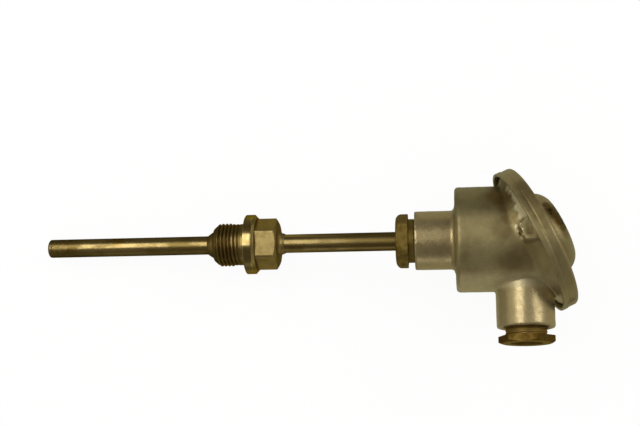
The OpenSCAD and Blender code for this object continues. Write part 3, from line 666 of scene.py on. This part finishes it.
def cast_metal(settings, name, stains_and_shade, pits, painted_highlights=(), turned_ends=(), painted_light_bands=(), blotching=1.0,
               shading=0.0):
    """Cast light metal: satin, slightly blotched, with brown stains, some of which also paint shade, and
    small dark pits, with painted highlights and painted shade in its hollows. The turned ends, each an axis
    with where it starts and ends, are brighter. The painted light bands paint light and shade: along an axis,
    one side of the casting is made darker or lighter."""
    finish = Finish(name, settings.casting, metal=0.78)
    clouds = finish.grain(14, 4, 0.6, shift=4.0)
    blotches = finish.grain(3.2, 4, 0.65, shift=7.7, warp=0.6)
    skin = finish.grain(0.5, 3, 0.6, shift=2.2)
    rough = finish.range(blotches, 0.3, 0.75, 0.38, 0.52)
    finish.patchy(clouds, 0.35, 0.7, blotching, settings.casting_dark)
    finish.patchy(blotches, 0.5, 0.8, 0.4 * blotching, settings.casting_dark)
    finish.tone(shading, settings.casting_dark)
    # Painted light and shade: each band makes one side of the casting darker or lighter
    for axis, start, end, strength, colour in painted_light_bands:
        finish.tone(finish.beyond(axis, start, end), colour, strength)
    if turned_ends:
        bright = finish.most(*[finish.beyond(*end) for end in turned_ends])
        finish.tone(bright, settings.machined, 0.8)
        rough = finish.plus(rough, finish.times(bright, finish.range(skin, 0.35, 0.65, -0.15, -0.07)))
    finish.patchy(skin, 0.56, 0.78, 0.4, "#6d6246")
    # Painted highlights: light spots that stand in for the lamps' gleam
    for point, reach in painted_highlights:
        finish.tone(finish.near(point, reach, reach * 0.9, 2.0), "#e2d6ae")
    # Brown stains; on the lid's upper rim and on parts of the head the same tone paints shade
    stained_or_shaded = []
    for point, reach, strength in stains_and_shade:
        stained_or_shaded.append(finish.times(finish.near(point, reach, reach * 0.45, 2.4), strength))
    finish.tone(finish.most(*stained_or_shaded), settings.stain_and_shade)
    for point, reach in pits:
        finish.tone(finish.near(point, reach, reach * 0.8, 0.7), "#1c1608")
    # Painted shade in the casting's hollows and corners
    finish.tone(finish.painted_hollow_shade(2, 0.2, 0.8, 0.7), "#3f3217")
    finish.relief(finish.plus(finish.times(skin, 0.5), blotches), 0.06, 0.15)
    return finish.done(rough)


def rubber(settings):
    """Seals: dark rubber with a little dust."""
    finish = Finish("seal rubber", settings.gasket, metal=0.0)
    dust = finish.grain(2.5, 4, 0.6)
    finish.patchy(dust, 0.45, 0.75, 0.5, "#4a463c")
    finish.relief(finish.grain(0.3, 2), 0.03, 0.15)
    return finish.done(finish.range(dust, 0.3, 0.7, 0.55, 0.8))


def ceramic(settings, name="terminal ceramic", gloss=0.45):
    """Fired ceramic: pale, a little clouded, with small specks."""
    finish = Finish(name, settings.ceramic, metal=0.0)
    clouds = finish.grain(5, 3, 0.6)
    specks = finish.grain(0.4, 1, 0.5, shift=3.0)
    finish.patchy(clouds, 0.35, 0.75, 0.6, "#cdbf9f")
    finish.patchy(specks, 0.68, 0.74, 0.6, "#7b6a4c")
    finish.relief(finish.grain(0.6, 3), 0.03, 0.25)
    return finish.done(finish.range(clouds, 0.3, 0.7, gloss, gloss + 0.2))


def small_metal(name, colour, dark, rough=0.28):
    """Small screws, washers, bars and wires: bright metal, a little tarnished."""
    finish = Finish(name, colour)
    patches = finish.grain(1.4, 3, 0.6)
    scratches = finish.grain(0.12, 2, 0.5, (14, 1, 14))
    finish.patchy(patches, 0.42, 0.75, 0.7, dark)
    finish.relief(finish.plus(patches, scratches), 0.02, 0.12)
    return finish.done(finish.range(patches, 0.3, 0.7, rough, rough + 0.18))


# --- the pieces


class PROBE_OT_stem(bpy.types.Operator):
    """Draws the closed stem: the tube and its welded tip"""

    bl_idname = "probe.stem"
    bl_label = "Closed Stem"

    def execute(self, context):
        settings = context.scene.probe_stem
        finish = drawn_steel(settings)
        radius = span("protection_tube", 0)[1]
        bottom, top = span("protection_tube", 2)
        wall = 1.0
        bore = radius - wall
        outline = at((radius - 0.06, bottom + 0.04), (radius, bottom + 0.16))
        outline += rows(4, (radius, bottom + 0.4), (radius, top - 0.3))
        outline += at((radius - 0.3, top), (bore + 0.2, top), (bore, top - 0.2))
        outline += rows(12, (bore, top - 6), (bore, bottom + 0.4))
        outline += at((bore, bottom), (radius - 0.12, bottom))
        tube = turned("stem_tube", outline, finish, sides=128)
        take_over(tube, "stem", "stem_steel", "protection_tube")

        def bead(mark, around, height, turn):
            return around + 0.035 * np.sin(turn * 17 + 2 * np.sin(turn * 3))

        tip = span("tip_plug", 2)[0]
        edge = settings.tip_rounding / MM
        outline = at((0, tip), (1.2, tip))
        outline += rows(0.5, (1.6, tip), (radius - edge, tip))
        outline += arc((radius - edge, tip + edge), edge, -90, 0, 8)[1:]
        outline += rows(0.4, (radius, tip + edge), (radius, bottom - 0.3))[1:]
        outline += at((radius, bottom - 0.2), mark="bead") + at((radius - 0.05, bottom - 0.02))
        outline += at((bore - 0.06, bottom), (bore - 0.06, bottom + 2), (0, bottom + 2))
        plug = turned("stem_tip", outline, finish, bead, sides=96, hollow=False)
        take_over(plug, "stem", "stem_steel", "tip_plug")
        return {"FINISHED"}


class PROBE_OT_fitting(bpy.types.Operator):
    """Turns the process fitting with its pipe thread, collar, hexagon and welds"""

    bl_idname = "probe.fitting"
    bl_label = "Process Fitting"

    def execute(self, context):
        settings = context.scene.probe_fitting
        pitch, depth = settings.thread_pitch / MM, settings.thread_depth / MM
        collar = span("process_fitting", 0)[1]
        bore, crest, relief, corner = STEM_BORE, PIPE_CREST, 10.05, 13.02
        reach = screw_reach(
            crest, depth, pitch, lambda height: rise(-height, 0.7, 3.4),
            across=22, turn_degrees=10.4, worn=0.25,
        )
        outline = at((bore, -19.2))
        outline += at(
            (4.62, -19.28), (4.8, -19.1), (5.1, -18.7), (5.45, -18.2), (5.8, -17.7), (6.1, -17.25),
            (6.35, -16.8), (6.5, -16.4), mark="weld",
        )
        outline += at((6.75, -16.1), (7.3, -15.9), (8.1, -15.8))
        outline += rows(
            0.14, (8.14, -15.8), (crest, -13.1), (crest, -13.0), (crest, -6.9), (crest, -6.8),
            (relief, -6.35), (relief, -6.3), (relief, -0.8), mark="thread",
        )
        outline += rows(0.9, (relief, -0.7), (relief, -0.35)) + arc((10.4, -0.35), 0.35, 180, 90, 3)[1:]
        outline += rows(0.9, (10.7, 0), (collar - 0.3, 0)) + arc((collar - 0.3, 0.3), 0.3, -90, 0, 4)[1:]
        outline += rows(0.9, (collar, 0.6), (collar, 3.95)) + arc((collar - 0.35, 3.95), 0.35, 0, 38, 3)[1:]
        outline += rows(0.4, (collar - 0.3, 4.3), (collar - 1.4, 5.35))
        outline += at((corner, 5.42), mark="hexagon")
        outline += rows(0.8, (corner, 5.6), (corner, 13.9), mark="hexagon")
        outline += rows(0.16, (corner, 14.1), (10.2, 15.66), mark="hexagon")
        outline += rows(0.5, (9.9, 15.7), (8.2, 15.7))
        outline += arc((8.0, 18.85), 3.15, 263, 188, 10, "weld")
        outline += at((4.7, 18.75), mark="weld") + at((bore, 18.78))
        outline += rows(6, (bore, 15), (bore, -17))
        piece = turned("process_fitting_turned", outline, turned_steel(settings), reach, sides=180, sharp=28)
        take_over(piece, "stem", "fitting_steel", "process_fitting")
        return {"FINISHED"}


class PROBE_OT_neck_clamp(bpy.types.Operator):
    """Turns the clamp screw under the head and finishes its washer and ring"""

    bl_idname = "probe.neck_clamp"
    bl_label = "Neck Clamp"

    def execute(self, context):
        settings = context.scene.probe_fitting
        pitch, depth = settings.thread_pitch / MM, settings.thread_depth / MM
        bottom, top = span("neck_clamp_screw", 2)
        shoulder = bottom + 5.8
        bore, crest, corner = STEM_BORE, PIPE_CREST, 13.3
        reach = screw_reach(
            crest, depth, pitch, lambda height: rise(height - shoulder, 2.6, 1.2),
            across=23, turn_degrees=2.1, worn=0.12, shift=0.4,
        )
        outline = at((bore, 0.5), (bore + 0.5, 0), base=bottom)
        outline += rows(1.2, (bore + 0.8, bottom), (10.4, bottom))
        outline += at(
            (10.7, 0.03), (11, 0.12), (11.4, 0.32), (11.8, 0.58), (12.15, 0.85), (12.45, 1.12), (12.75, 1.5),
            (12.95, 1.85), (13.1, 2.25), (corner, 2.7), mark="hexagon", base=bottom,
        )
        outline += rows(0.6, (corner, bottom + 3), (corner, shoulder - 0.3), mark="hexagon")
        outline += at((13.1, -0.08), (12.9, 0), mark="hexagon", base=shoulder)
        outline += rows(0.4, (11.2, shoulder), (10.5, shoulder))
        outline += rows(0.14, (crest, shoulder + 0.08), (crest, top - 1.0), mark="thread")
        outline += rows(0.2, (crest - 0.1, top - 0.9), (crest - 1.0, top), mark="thread")
        outline += rows(1.2, (8.5, top), (bore + 0.3, top)) + at((bore, top - 0.3))
        outline += rows(4, (bore, top - 3), (bore, bottom + 3))
        finish = nut_metal(settings, "clamp screw brass", metal=0.6, dulling=0.3)
        screw = turned("neck_clamp_turned", outline, finish, reach, sides=180, sharp=28)
        take_over(screw, "head", "nut_brass", "neck_clamp_screw")
        dress(small_metal("washer steel", *WASHER_STEEL), "clamp_washer")
        dress(small_metal("clamp ring brass", *SMALL_BRASS), "clamp_ring")
        return {"FINISHED"}


class PROBE_OT_head(bpy.types.Operator):
    """Casts the connection head with its flash, pits and stains, its painted highlights and its painted shade
    """

    bl_idname = "probe.head"
    bl_label = "Connection Head"

    def execute(self, context):
        settings = context.scene.probe_head
        # Brown stains; some of them also paint shade and a dark reflection on the body
        stains_and_shade = (
            ((-20.5, -14.5, 121.9), 9, 0.8), ((-16.5, -18.6, 120.3), 8, 0.75),
            ((-13.7, -21, 122.6), 6.5, 0.7), ((-9.3, -23.2, 122.8), 5, 0.55), ((-4, -25, 123.6), 5, 0.5),
            ((10.7, -23.3, 133.2), 7, 0.3), ((3.4, -32.4, 133), 3.2, 0.5), ((13.5, -21, 126), 9, 0.3),
            ((1, -25, 121), 7, 0.28), ((-2, 24, 118), 9, 0.4), ((-18, 17, 108), 6, 0.45),
            ((33, 10, 124), 4, 0.4),
        )
        # Painted highlights along the flange's cove and on the lug's bevel
        painted_highlights = (
            ((-19.7, -19.3, 125), 2.8), ((-15, -24.3, 127.4), 2.8), ((-11, -27, 129.2), 2.6),
            ((-12.8, -25.6, 128.3), 2.6), ((-17.4, -22, 126.2), 2.6), ((-9.2, -26.7, 128.5), 3),
            ((-7.5, -27.9, 129.7), 3.4), ((-5.8, -29, 130.8), 3.4), ((-4.8, -29.7, 131.6), 2.6),
            ((-4.2, -27, 129), 1.8), ((0, -25.7, 127.6), 1.3), ((1.7, -25.7, 128.2), 1.3),
            ((5.2, -25.6, 129.7), 1.4), ((0.3, -32.5, 128.7), 0.7), ((2.6, -32.4, 129.6), 0.75),
        )
        pits = (((3.1, -25.6, 128.9), 0.8), ((2.9, -29.5, 128.8), 0.9), ((0.9, -30.6, 128.1), 0.7))
        turned_ends = (("X", 24.2, 26.0), ("Z", 100.5, 99.0))
        # Painted shade on the side towards -X, painted light on the side towards +X
        painted_light_bands = (("X", -4, -13, 0.42, "#4a4023"), ("X", 17.5, 24, 0.45, "#e2d6ae"))
        finish = cast_metal(
            settings, "cast head", stains_and_shade, pits, painted_highlights, turned_ends, painted_light_bands, blotching=0.75
        )
        piece = cast_skin("head_body", "head_cast", finish, settings.skin_size, rounds=3)
        soften(piece, near_rim, settings.rim_rounds)
        neck_length, flash_start, flash_end, lug_tip = 19.1, 13.6, 16.6, (3.4, -31, 129.1)
        passage_start, passage_radius, passage_play = 24, 11.4, 0.22
        neck_top = span("head_body", 2)[0] + neck_length

        def skin(places):
            x, y, z = places.T
            radius = np.hypot(x, y)
            dents = lumps(places, 6.0, 1.0) * 0.08 + lumps(places, 1.7, 4.0) * 0.03
            from_tip = np.linalg.norm(places - np.array(lug_tip), axis=1)
            dents += np.exp(-((from_tip / 2.0) ** 2)) * (lumps(places, 1.2, 12.0) * 0.8 - 0.1)
            in_passage = (x > passage_start) & (np.hypot(y, z - ENTRY_HEIGHT) < passage_radius)
            dents = np.where(in_passage, -passage_play, dents)
            around = np.stack([x * 0.5, y * 0.5, np.zeros(len(places))], 1)
            on_neck = (radius > flash_start) * (radius < flash_end)
            flash = np.exp(-(((z - neck_top + 0.2) / 0.45) ** 2)) * on_neck
            return dents + flash * (0.16 + 0.3 * np.abs(lumps(around, 1.0, 9.0)))

        push(piece, skin)
        take_over(piece, "head", "cast_alloy", "head_body")
        dress(small_metal("earth screw brass", *SMALL_BRASS), "earth_screw")
        dress(small_metal("earth washer steel", *WASHER_STEEL), "earth_washer")
        return {"FINISHED"}


class PROBE_OT_lid(bpy.types.Operator):
    """Turns the cast lid with its skirt, dome and screw holes, its gasket and its screws"""

    bl_idname = "probe.lid"
    bl_label = "Lid"

    def execute(self, context):
        settings = context.scene.probe_head
        place = lid_place()
        # The stains from (-18, -30, 131) to (1, -35.3, 139) are painted shade on the upper outer rounding of
        # the lid's skirt; the others are brown stains
        stains_and_shade = (
            ((-9.2, -17.7, 144.3), 5, 1), ((-6.7, -18.2, 145.7), 5, 1), ((-3.8, -18.4, 147.1), 4.4, 1),
            ((-11.5, -17, 142.6), 3.6, 0.9), ((-1.5, -19.5, 148), 2.6, 0.7), ((-6.5, -15.8, 147.6), 4.6, 1),
            ((-11, -14.5, 145.5), 3.4, 0.7), ((-1.4, -17.6, 148.6), 3.8, 0.85),
            ((1.6, -17.2, 150), 3.2, 0.35), ((-18, -30, 131), 6, 0.45), ((-12.6, -32.6, 132.4), 6, 0.45),
            ((-7.7, -34.2, 134.3), 5.5, 0.4), ((-3, -35.2, 137), 5, 0.4), ((1, -35.3, 139), 4, 0.3),
            ((30.5, -9, 151.5), 3.2, 0.55), ((-14, 12, 140), 6, 0.35), ((12, 14, 156), 7, 0.25),
        )
        pits = (
            ((-4.6, -17.2, 148.6), 1), ((-1.6, -16.6, 150), 0.9), ((-7.2, -18.9, 143.6), 0.7),
            ((-7.4, -16.4, 147.2), 1.3), ((-3, -16.8, 148.6), 1.2), ((-9, -18.3, 143.4), 1.4),
        )
        finish = cast_metal(settings, "cast lid", stains_and_shade, pits, blotching=0.45, shading=0.3)
        outer, wall, foot, crown = 35.52, 35.22, 20.4, 9.6
        corner, fillet, depth, crown_radius = 8.8, 1.5, 7.9, 130

        def dome(radius):
            past_edge = max(0.0, radius - (foot - corner))
            side = crown - corner + math.sqrt(max(0.0, corner**2 - past_edge**2))
            top = crown - crown_radius + math.sqrt(crown_radius**2 - radius**2)
            return min(side, top)

        outline = at((34.2, -depth + 0.15), (34.35, -depth), (outer - 0.25, -depth))
        outline += arc((outer - 0.22, -depth + 0.22), 0.22, -90, 0, 3)[1:]
        outline += at(
            (outer, -7.0), (outer, -6.1), (outer, -5.4), (outer - 0.05, -5.27), (wall - 0.06, -5.14),
            (wall - 0.14, -5.0), (wall - 0.15, -4.75), (wall - 0.08, -4.5), (wall, -4.3),
        )
        outline += rows(0.8, (wall, -3.8), (wall, -1.8)) + arc((wall - 1.6, -1.6), 1.6, 0, 90, 9)[1:]
        outline += rows(1.0, (33.6, 0), (foot + fillet, 0))
        outline += arc((foot + fillet, fillet), fillet, -90, -176, 6)[1:]
        dome_rings = (
            20.37, 20.3, 20.1, 19.8, 19.4, 18.9, 18.3, 17.5, 16.6, 15.6, 14.6, 13.6, 12.5, 11, 9, 7, 5, 3, 1.5
        )
        outline += at(*[(radius, dome(radius)) for radius in dome_rings], (0, crown))
        outline += at(
            (0, 7.1), (4, 7.05), (8, 6.9), (11, 6.7), (13.5, 6.2), (15.4, 5.2), (16.8, 3.6), (17.6, 1.6),
            (17.85, 0), (17.9, -2.6), (18.3, -3),
        )
        outline += rows(1.2, (19.5, -3), (24.9, -3))
        outline += at((25.1, -2.9), (25.1, -2.1), (27.1, -2.1), (27.1, -2.9), (27.3, -3))
        outline += rows(1.2, (28.5, -3), (33.6, -3)) + arc((33.6, -3.6), 0.6, 90, 0, 4)[1:]
        outline += rows(1.0, (34.2, -4.4), (34.2, -7.5))
        lid = turned("lid_cast", outline, finish, sides=180, place=place, sharp=38)
        sink = at((0, -5), (2.3, -5), (2.3, -1.75), (4.1, 0.05), (4.6, 0.6), (0, 0.6))
        screw_places = [place @ Matrix.Translation((0, side * LID_SCREW_CIRCLE * MM, 0)) for side in (-1, 1)]
        for spot in screw_places:
            carve(lid, turned("screw_hole", sink, finish, sides=48, hollow=False, place=spot))
        push(lid, lambda places: lumps(places, 7.0, 2.0) * 0.05 + lumps(places, 1.5, 6.0) * 0.015)
        coat(lid.data, finish)
        take_over(lid, "lid", "cast_alloy", "lid")

        screw_finish = small_metal("lid screw steel", "#a8a290", "#6f6650")
        outline = at(
            (0, -0.25), (2.0, -0.22), (3.3, -0.14), (3.7, -0.2), (3.72, -0.32), (2.0, -2.0), (2.0, -2.2),
            (2.0, -10.8), (1.6, -11.4), (0, -11.4),
        )
        for number, (spot, degrees) in enumerate(zip(screw_places, (-25, 25)), 1):
            spot = spot @ Matrix.Rotation(math.radians(degrees), 4, "Z")
            screw = turned(f"lid_screw_{number}", outline, screw_finish, sides=48, hollow=False, place=spot)
            carve(screw, block("slot", (9, 1.1, 2.2), (0, 0, 0.1), spot, screw_finish))
            take_over(screw, "lid", "bright_screws", "lid_screws")
        dress(rubber(settings), "lid_gasket")
        return {"FINISHED"}


class PROBE_OT_gland(bpy.types.Operator):
    """Turns the cable gland's screw and finishes its washer and seal"""

    bl_idname = "probe.gland"
    bl_label = "Cable Gland"

    def execute(self, context):
        settings = context.scene.probe_fitting
        pitch, depth = settings.gland_pitch / MM, settings.gland_depth / MM
        inner, outer = span("gland_screw", 0)
        shoulder, thread_end = outer - 3.5, inner + 8.0
        place = Matrix.Translation((0, 0, ENTRY_HEIGHT * MM)) @ Matrix.Rotation(math.radians(90), 4, "Y")
        bore, crest, corner = 6.2, 10.0, 13.3
        reach = screw_reach(
            crest, depth, pitch, lambda height: 1, across=23, turn_degrees=13.6, worn=0.12
        )
        outline = at((bore, inner + 0.2), (bore + 0.2, inner))
        outline += rows(1.1, (7, inner), (9.2, inner))
        outline += rows(
            0.12, (9.3, inner), (crest, inner + 0.8), (crest, inner + 0.9), (crest, thread_end - 0.5),
            (crest, thread_end - 0.5), (9.4, thread_end), mark="thread",
        )
        outline += at((9.4, thread_end + 0.1))
        outline += rows(0.14, (9.55, thread_end + 0.2), (9.55, shoulder - 0.2), mark="groove")
        outline += at((9.7, shoulder)) + rows(0.5, (10.2, shoulder), (11.2, shoulder))
        outline += at((12.9, shoulder), (13.1, shoulder + 0.1), mark="hexagon")
        outline += rows(0.6, (corner, shoulder + 0.35), (corner, outer - 1.05), mark="hexagon")
        outline += at(
            (13.1, -0.9), (12.9, -0.74), (12.6, -0.58), (12.3, -0.44), (12.0, -0.32), (11.7, -0.2),
            (11.4, -0.1), (11.15, -0.03), mark="hexagon", base=outer,
        )
        outline += rows(1.0, (10.9, outer), (7.9, outer))
        outline += at((7.55, -0.08), (7.3, -0.3), (6.8, -0.75), (6.4, -1.15), (bore, -1.5), base=outer)
        outline += rows(4, (bore, outer - 4), (bore, inner + 2))
        finish = nut_metal(settings, "gland screw brass", metal=0.85, dulling=0)
        screw = turned("gland_screw_turned", outline, finish, reach, sides=180, place=place, sharp=28)
        take_over(screw, "gland_screw", "nut_brass", "gland_screw")
        dress(small_metal("gland washer steel", *WASHER_STEEL), "gland_washer")

        start, end = span("cable_seal", 0)
        outline = at((5.5, start + 0.5)) + arc((6.0, start + 0.5), 0.5, 180, 270, 4)[1:]
        outline += at((7.5, start)) + arc((9.15, start + 0.5), 0.5, -90, 0, 4)
        outline += arc((9.15, end - 0.5), 0.5, 0, 90, 4)
        outline += at((7.5, end)) + arc((6.0, end - 0.5), 0.5, 90, 180, 4)
        rubber_finish = rubber(context.scene.probe_head)
        seal = turned("cable_seal_moulded", outline, rubber_finish, sides=72, place=place, sharp=0)
        take_over(seal, "gland_stack", "gasket_rubber", "cable_seal")
        return {"FINISHED"}


class PROBE_OT_insert(bpy.types.Operator):
    """Winds the springs, bends the lead wires and finishes the measuring insert"""

    bl_idname = "probe.insert"
    bl_label = "Measuring Insert"

    def execute(self, context):
        settings = context.scene.probe_insert
        low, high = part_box("insert_springs")
        bottom, top = low.z / MM, high.z / MM
        wire = settings.spring_wire / MM
        screw_head_radius, coil_radius, turns, steps, crowding = 3.5, 3.05, 5.5, 200, 0.11
        centre = abs((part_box("insert_screws")[0].x + screw_head_radius * MM) / MM)
        spring_finish = small_metal("spring wire", "#c0bcae", "#837d6c", 0.22)
        for number, side in enumerate((-1, 1), 1):
            points = []
            for i in range(steps + 1):
                share = i / steps
                around = 2 * math.pi * turns * share
                lift = share - crowding * math.sin(2 * math.pi * share)
                points.append((
                    (side * centre + coil_radius * math.cos(around)) * MM,
                    coil_radius * math.sin(around) * MM,
                    (bottom + wire / 2 + (top - bottom - wire) * lift) * MM,
                ))
            mesh = mesh_from("spring", *swept(points, wire / 2 * MM))
            spring = add_piece(f"insert_spring_{number}", mesh, spring_finish, 60)
            take_over(spring, "head", "spring_steel", "insert_springs")
            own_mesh(spring)

        low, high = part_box("lead_wires")
        radius, bend, bore_place = settings.lead_wire / 2, 2.2 * MM, 0.85
        level = high.z - radius
        parts = []
        for x, y in ((-1, -1), (-1, 1), (1, -1), (1, 1)):
            start = Vector((x * bore_place, y * bore_place, 0)) * MM
            end = Vector((x * (high.x - radius), y * (high.y - radius), 0))
            out = (end - start).normalized()
            points = [start + Vector((0, 0, height)) for height in (low.z, 0.02, 0.1)]
            for k in range(9):
                a = math.radians(90) * k / 8
                rising = Vector((0, 0, level - bend + bend * math.sin(a)))
                points.append(start + out * bend * (1 - math.cos(a)) + rising)
            points += [start + (end - start) * 0.7 + Vector((0, 0, level)), end + Vector((0, 0, level))]
            parts.append(swept(points, radius, 10))
        lead_finish = small_metal("lead wire", "#cfcabb", "#98917e", 0.22)
        leads = add_piece("lead_wires_bent", mesh_from("leads", *joined(parts)), lead_finish, 60)
        take_over(leads, "insert", "lead_metal", "lead_wires")

        dress(ceramic(settings), "terminal_block", "wire_insulator")
        dress(ceramic(settings, "element ceramic", 0.2), "sensing_element")
        dress(small_metal("insert tube steel", "#b8b3a2", "#8a8470"), "insert_tube")
        dress(small_metal("flange steel", "#b4afa0", "#7f7966"), "insert_flange")
        dress(small_metal("terminal bar brass", settings.terminal, "#94753a"), "terminal_bars")
        plated = small_metal("plated screws", settings.plated, "#8d8772")
        dress(plated, "block_screws", "terminal_screws", "insert_screws")
        return {"FINISHED"}


# --- the stage


def paper_finish(colour, reflected):
    """White paper: it shows its own white to the eye, a dimmer tone in the metal, and keeps a soft shadow.
    It can't be seen from behind."""
    graph = Graph(bpy.data.materials.new("white paper"))
    seen, glossy = graph.rays()
    own = graph.add("ShaderNodeBsdfDiffuse", {"Color": full(colour)})
    glow = graph.add("ShaderNodeEmission", {"Color": full("#ffffff"), "Strength": 1.03})
    share = graph.maths("MULTIPLY_ADD", seen, 0.4, 0.5)
    front = graph.blend(share, own.outputs[0], glow.outputs[0])
    # Heights along the probe in metres, with the share of the mirrored tone that the metal there shows
    shares = ((-0.014, 0.3), (-0.003, 1), (0.016, 1), (0.028, 0.3), (0.066, 0.3), (0.084, 1))
    place = graph.add("ShaderNodeNewGeometry").outputs
    split = graph.add("ShaderNodeSeparateXYZ", {0: place["Position"]})
    stops = [(height, [part * share for part in reflected]) for height, share in shares]
    dim = graph.add("ShaderNodeEmission", {"Color": graph.ramp(split.outputs["Z"], -0.1, 0.1, stops)})
    mirrored = graph.blend(glossy, front, dim.outputs[0])
    behind = graph.add("ShaderNodeBsdfTransparent").outputs[0]
    both = graph.blend(place["Backfacing"], mirrored, behind)
    graph.add("ShaderNodeOutputMaterial", {"Surface": both})
    return graph.owner


def studio_world(right, up, back):
    """A white room for soft light; the metal sees it as a dark room with a lit strip above the camera."""
    world = bpy.data.worlds.new("studio")
    bpy.context.scene.world = world
    graph = Graph(world)
    where = graph.add("ShaderNodeTexCoord").outputs["Generated"]

    def along(direction):
        part = graph.add("ShaderNodeVectorMath", {0: where, 1: direction}, operation="DOT_PRODUCT")
        return part.outputs["Value"]

    # The room's tones from the floor over the camera to the far wall, in degrees above straight back,
    # and what its left and right ends add to them
    around = (
        (-180, (0.3, 0.29, 0.23)), (-95, (0.26, 0.25, 0.19)), (-70, (0.09, 0.08, 0.06)),
        (-8, (0.07, 0.06, 0.045)), (6, (0.34, 0.32, 0.28)), (34, (0.34, 0.32, 0.28)),
        (58, (0.08, 0.07, 0.055)), (95, (0.08, 0.075, 0.055)), (125, (0.24, 0.23, 0.18)),
        (180, (0.3, 0.29, 0.23)),
    )
    across = (
        (-1, (0.3, 0.29, 0.2)), (-0.75, (0.28, 0.27, 0.19)), (-0.35, (0, 0, 0)), (0.5, (0, 0, 0)),
        (0.8, (0.16, 0.155, 0.11)), (1, (0.16, 0.155, 0.11)),
    )
    angle = graph.maths("ARCTAN2", along(up), along(back))
    level = graph.ramp(angle, -math.pi, math.pi, [(math.radians(degrees), tone) for degrees, tone in around])
    ends = graph.ramp(along(right), -1, 1, across)
    both = graph.add("ShaderNodeVectorMath", {0: level, 1: ends}, operation="ADD").outputs["Vector"]
    room = graph.add("ShaderNodeBackground", {"Color": both}).outputs[0]
    soft = graph.add("ShaderNodeBackground", {"Color": full("#ffffff"), "Strength": 0.55}).outputs[0]
    white = graph.add("ShaderNodeBackground", {"Color": full("#ffffff")}).outputs[0]
    seen, glossy = graph.rays()
    shown = graph.blend(seen, graph.blend(glossy, soft, room), white)
    graph.add("ShaderNodeOutputWorld", {"Surface": shown})


class PROBE_OT_stage(bpy.types.Operator):
    """Lays out the paper, the lamps, the room and the camera"""

    bl_idname = "probe.stage"
    bl_label = "Stage"

    def execute(self, context):
        settings = context.scene.probe_stage
        data = bpy.data.cameras.new("camera")
        data.lens = settings.lens
        data.sensor_width = 36
        data.clip_start, data.clip_end = 0.01, 20
        data.shift_x, data.shift_y = settings.camera_nudge
        camera = add_thing("camera", data)
        camera.location = settings.camera_place
        camera.rotation_euler = settings.camera_turn
        context.scene.camera = camera
        right, up, back = camera.rotation_euler.to_matrix().transposed()

        # The paper lies under the side that the camera doesn't see, where the lid's rim and the tip rest
        far = min(back.dot(v.co) for node in frame["nodes"].values() for v in node.data.vertices)
        middle, gap, half = Vector((0.0, 0.0, 0.03)), 0.0005, 2.0
        spot = middle + back * (far - gap - back.dot(middle))
        corners = [spot + right * a * half + up * b * half for a, b in ((-1, -1), (1, -1), (1, 1), (-1, 1))]
        mesh = bpy.data.meshes.new("paper")
        mesh.from_pydata([tuple(c) for c in corners], [], [(0, 1, 2, 3)])
        floor = add_thing("paper_floor", mesh)
        floor.data.materials.append(paper_finish(settings.sheet, settings.mirrored_sheet))

        for name, (x, y, z), size, share in (
            ("lamp_left", (-0.46, 0.33, 0.8), (0.78, 0.42), 1.0),
            ("lamp_right", (0.68, 0.42, 0.66), (0.42, 0.46), 0.62),
            ("lamp_low", (0.05, -0.95, -0.05), (0.9, 0.3), 0.25),
        ):
            light = bpy.data.lights.new(name, "AREA")
            light.shape = "RECTANGLE"
            light.size, light.size_y = size
            light.energy = settings.lamp_power * share
            lamp = add_thing(name, light)
            lamp.location = middle + right * x + up * y + back * z
            lamp.rotation_euler = (lamp.location - middle).to_track_quat("Z", "Y").to_euler()
        studio_world(right, up, back)
        context.scene.view_settings.view_transform = "Standard"
        return {"FINISHED"}


class PROBE_PT_panel(bpy.types.Panel):
    """Lists the probe's pieces and its settings"""

    bl_idname = "PROBE_PT_panel"
    bl_label = "Thermometer Probe"
    bl_space_type = "VIEW_3D"
    bl_region_type = "UI"
    bl_category = "Probe"

    def draw(self, context):
        layout = self.layout
        for operator in OPERATORS:
            layout.operator(operator.bl_idname)
        for name, kind in SETTINGS:
            box = layout.box()
            for key in kind.__annotations__:
                box.prop(getattr(context.scene, name), key)


SETTINGS = (
    ("probe_stem", StemSettings),
    ("probe_fitting", FittingSettings),
    ("probe_head", HeadSettings),
    ("probe_insert", InsertSettings),
    ("probe_stage", StageSettings),
)
OPERATORS = (
    PROBE_OT_stage, PROBE_OT_stem, PROBE_OT_fitting, PROBE_OT_neck_clamp, PROBE_OT_head, PROBE_OT_lid,
    PROBE_OT_gland, PROBE_OT_insert,
)


def register():
    for name, kind in SETTINGS:
        bpy.utils.register_class(kind)
        setattr(bpy.types.Scene, name, bpy.props.PointerProperty(type=kind))
    for operator in OPERATORS:
        bpy.utils.register_class(operator)
    bpy.utils.register_class(PROBE_PT_panel)


def unregister():
    bpy.utils.unregister_class(PROBE_PT_panel)
    for operator in reversed(OPERATORS):
        bpy.utils.unregister_class(operator)
    for name, kind in reversed(SETTINGS):
        delattr(bpy.types.Scene, name)
        bpy.utils.unregister_class(kind)


def main():
    register()
    for operator in OPERATORS:
        group, name = operator.bl_idname.split(".")
        getattr(getattr(bpy.ops, group), name)()


if __name__ == "__main__":
    main()
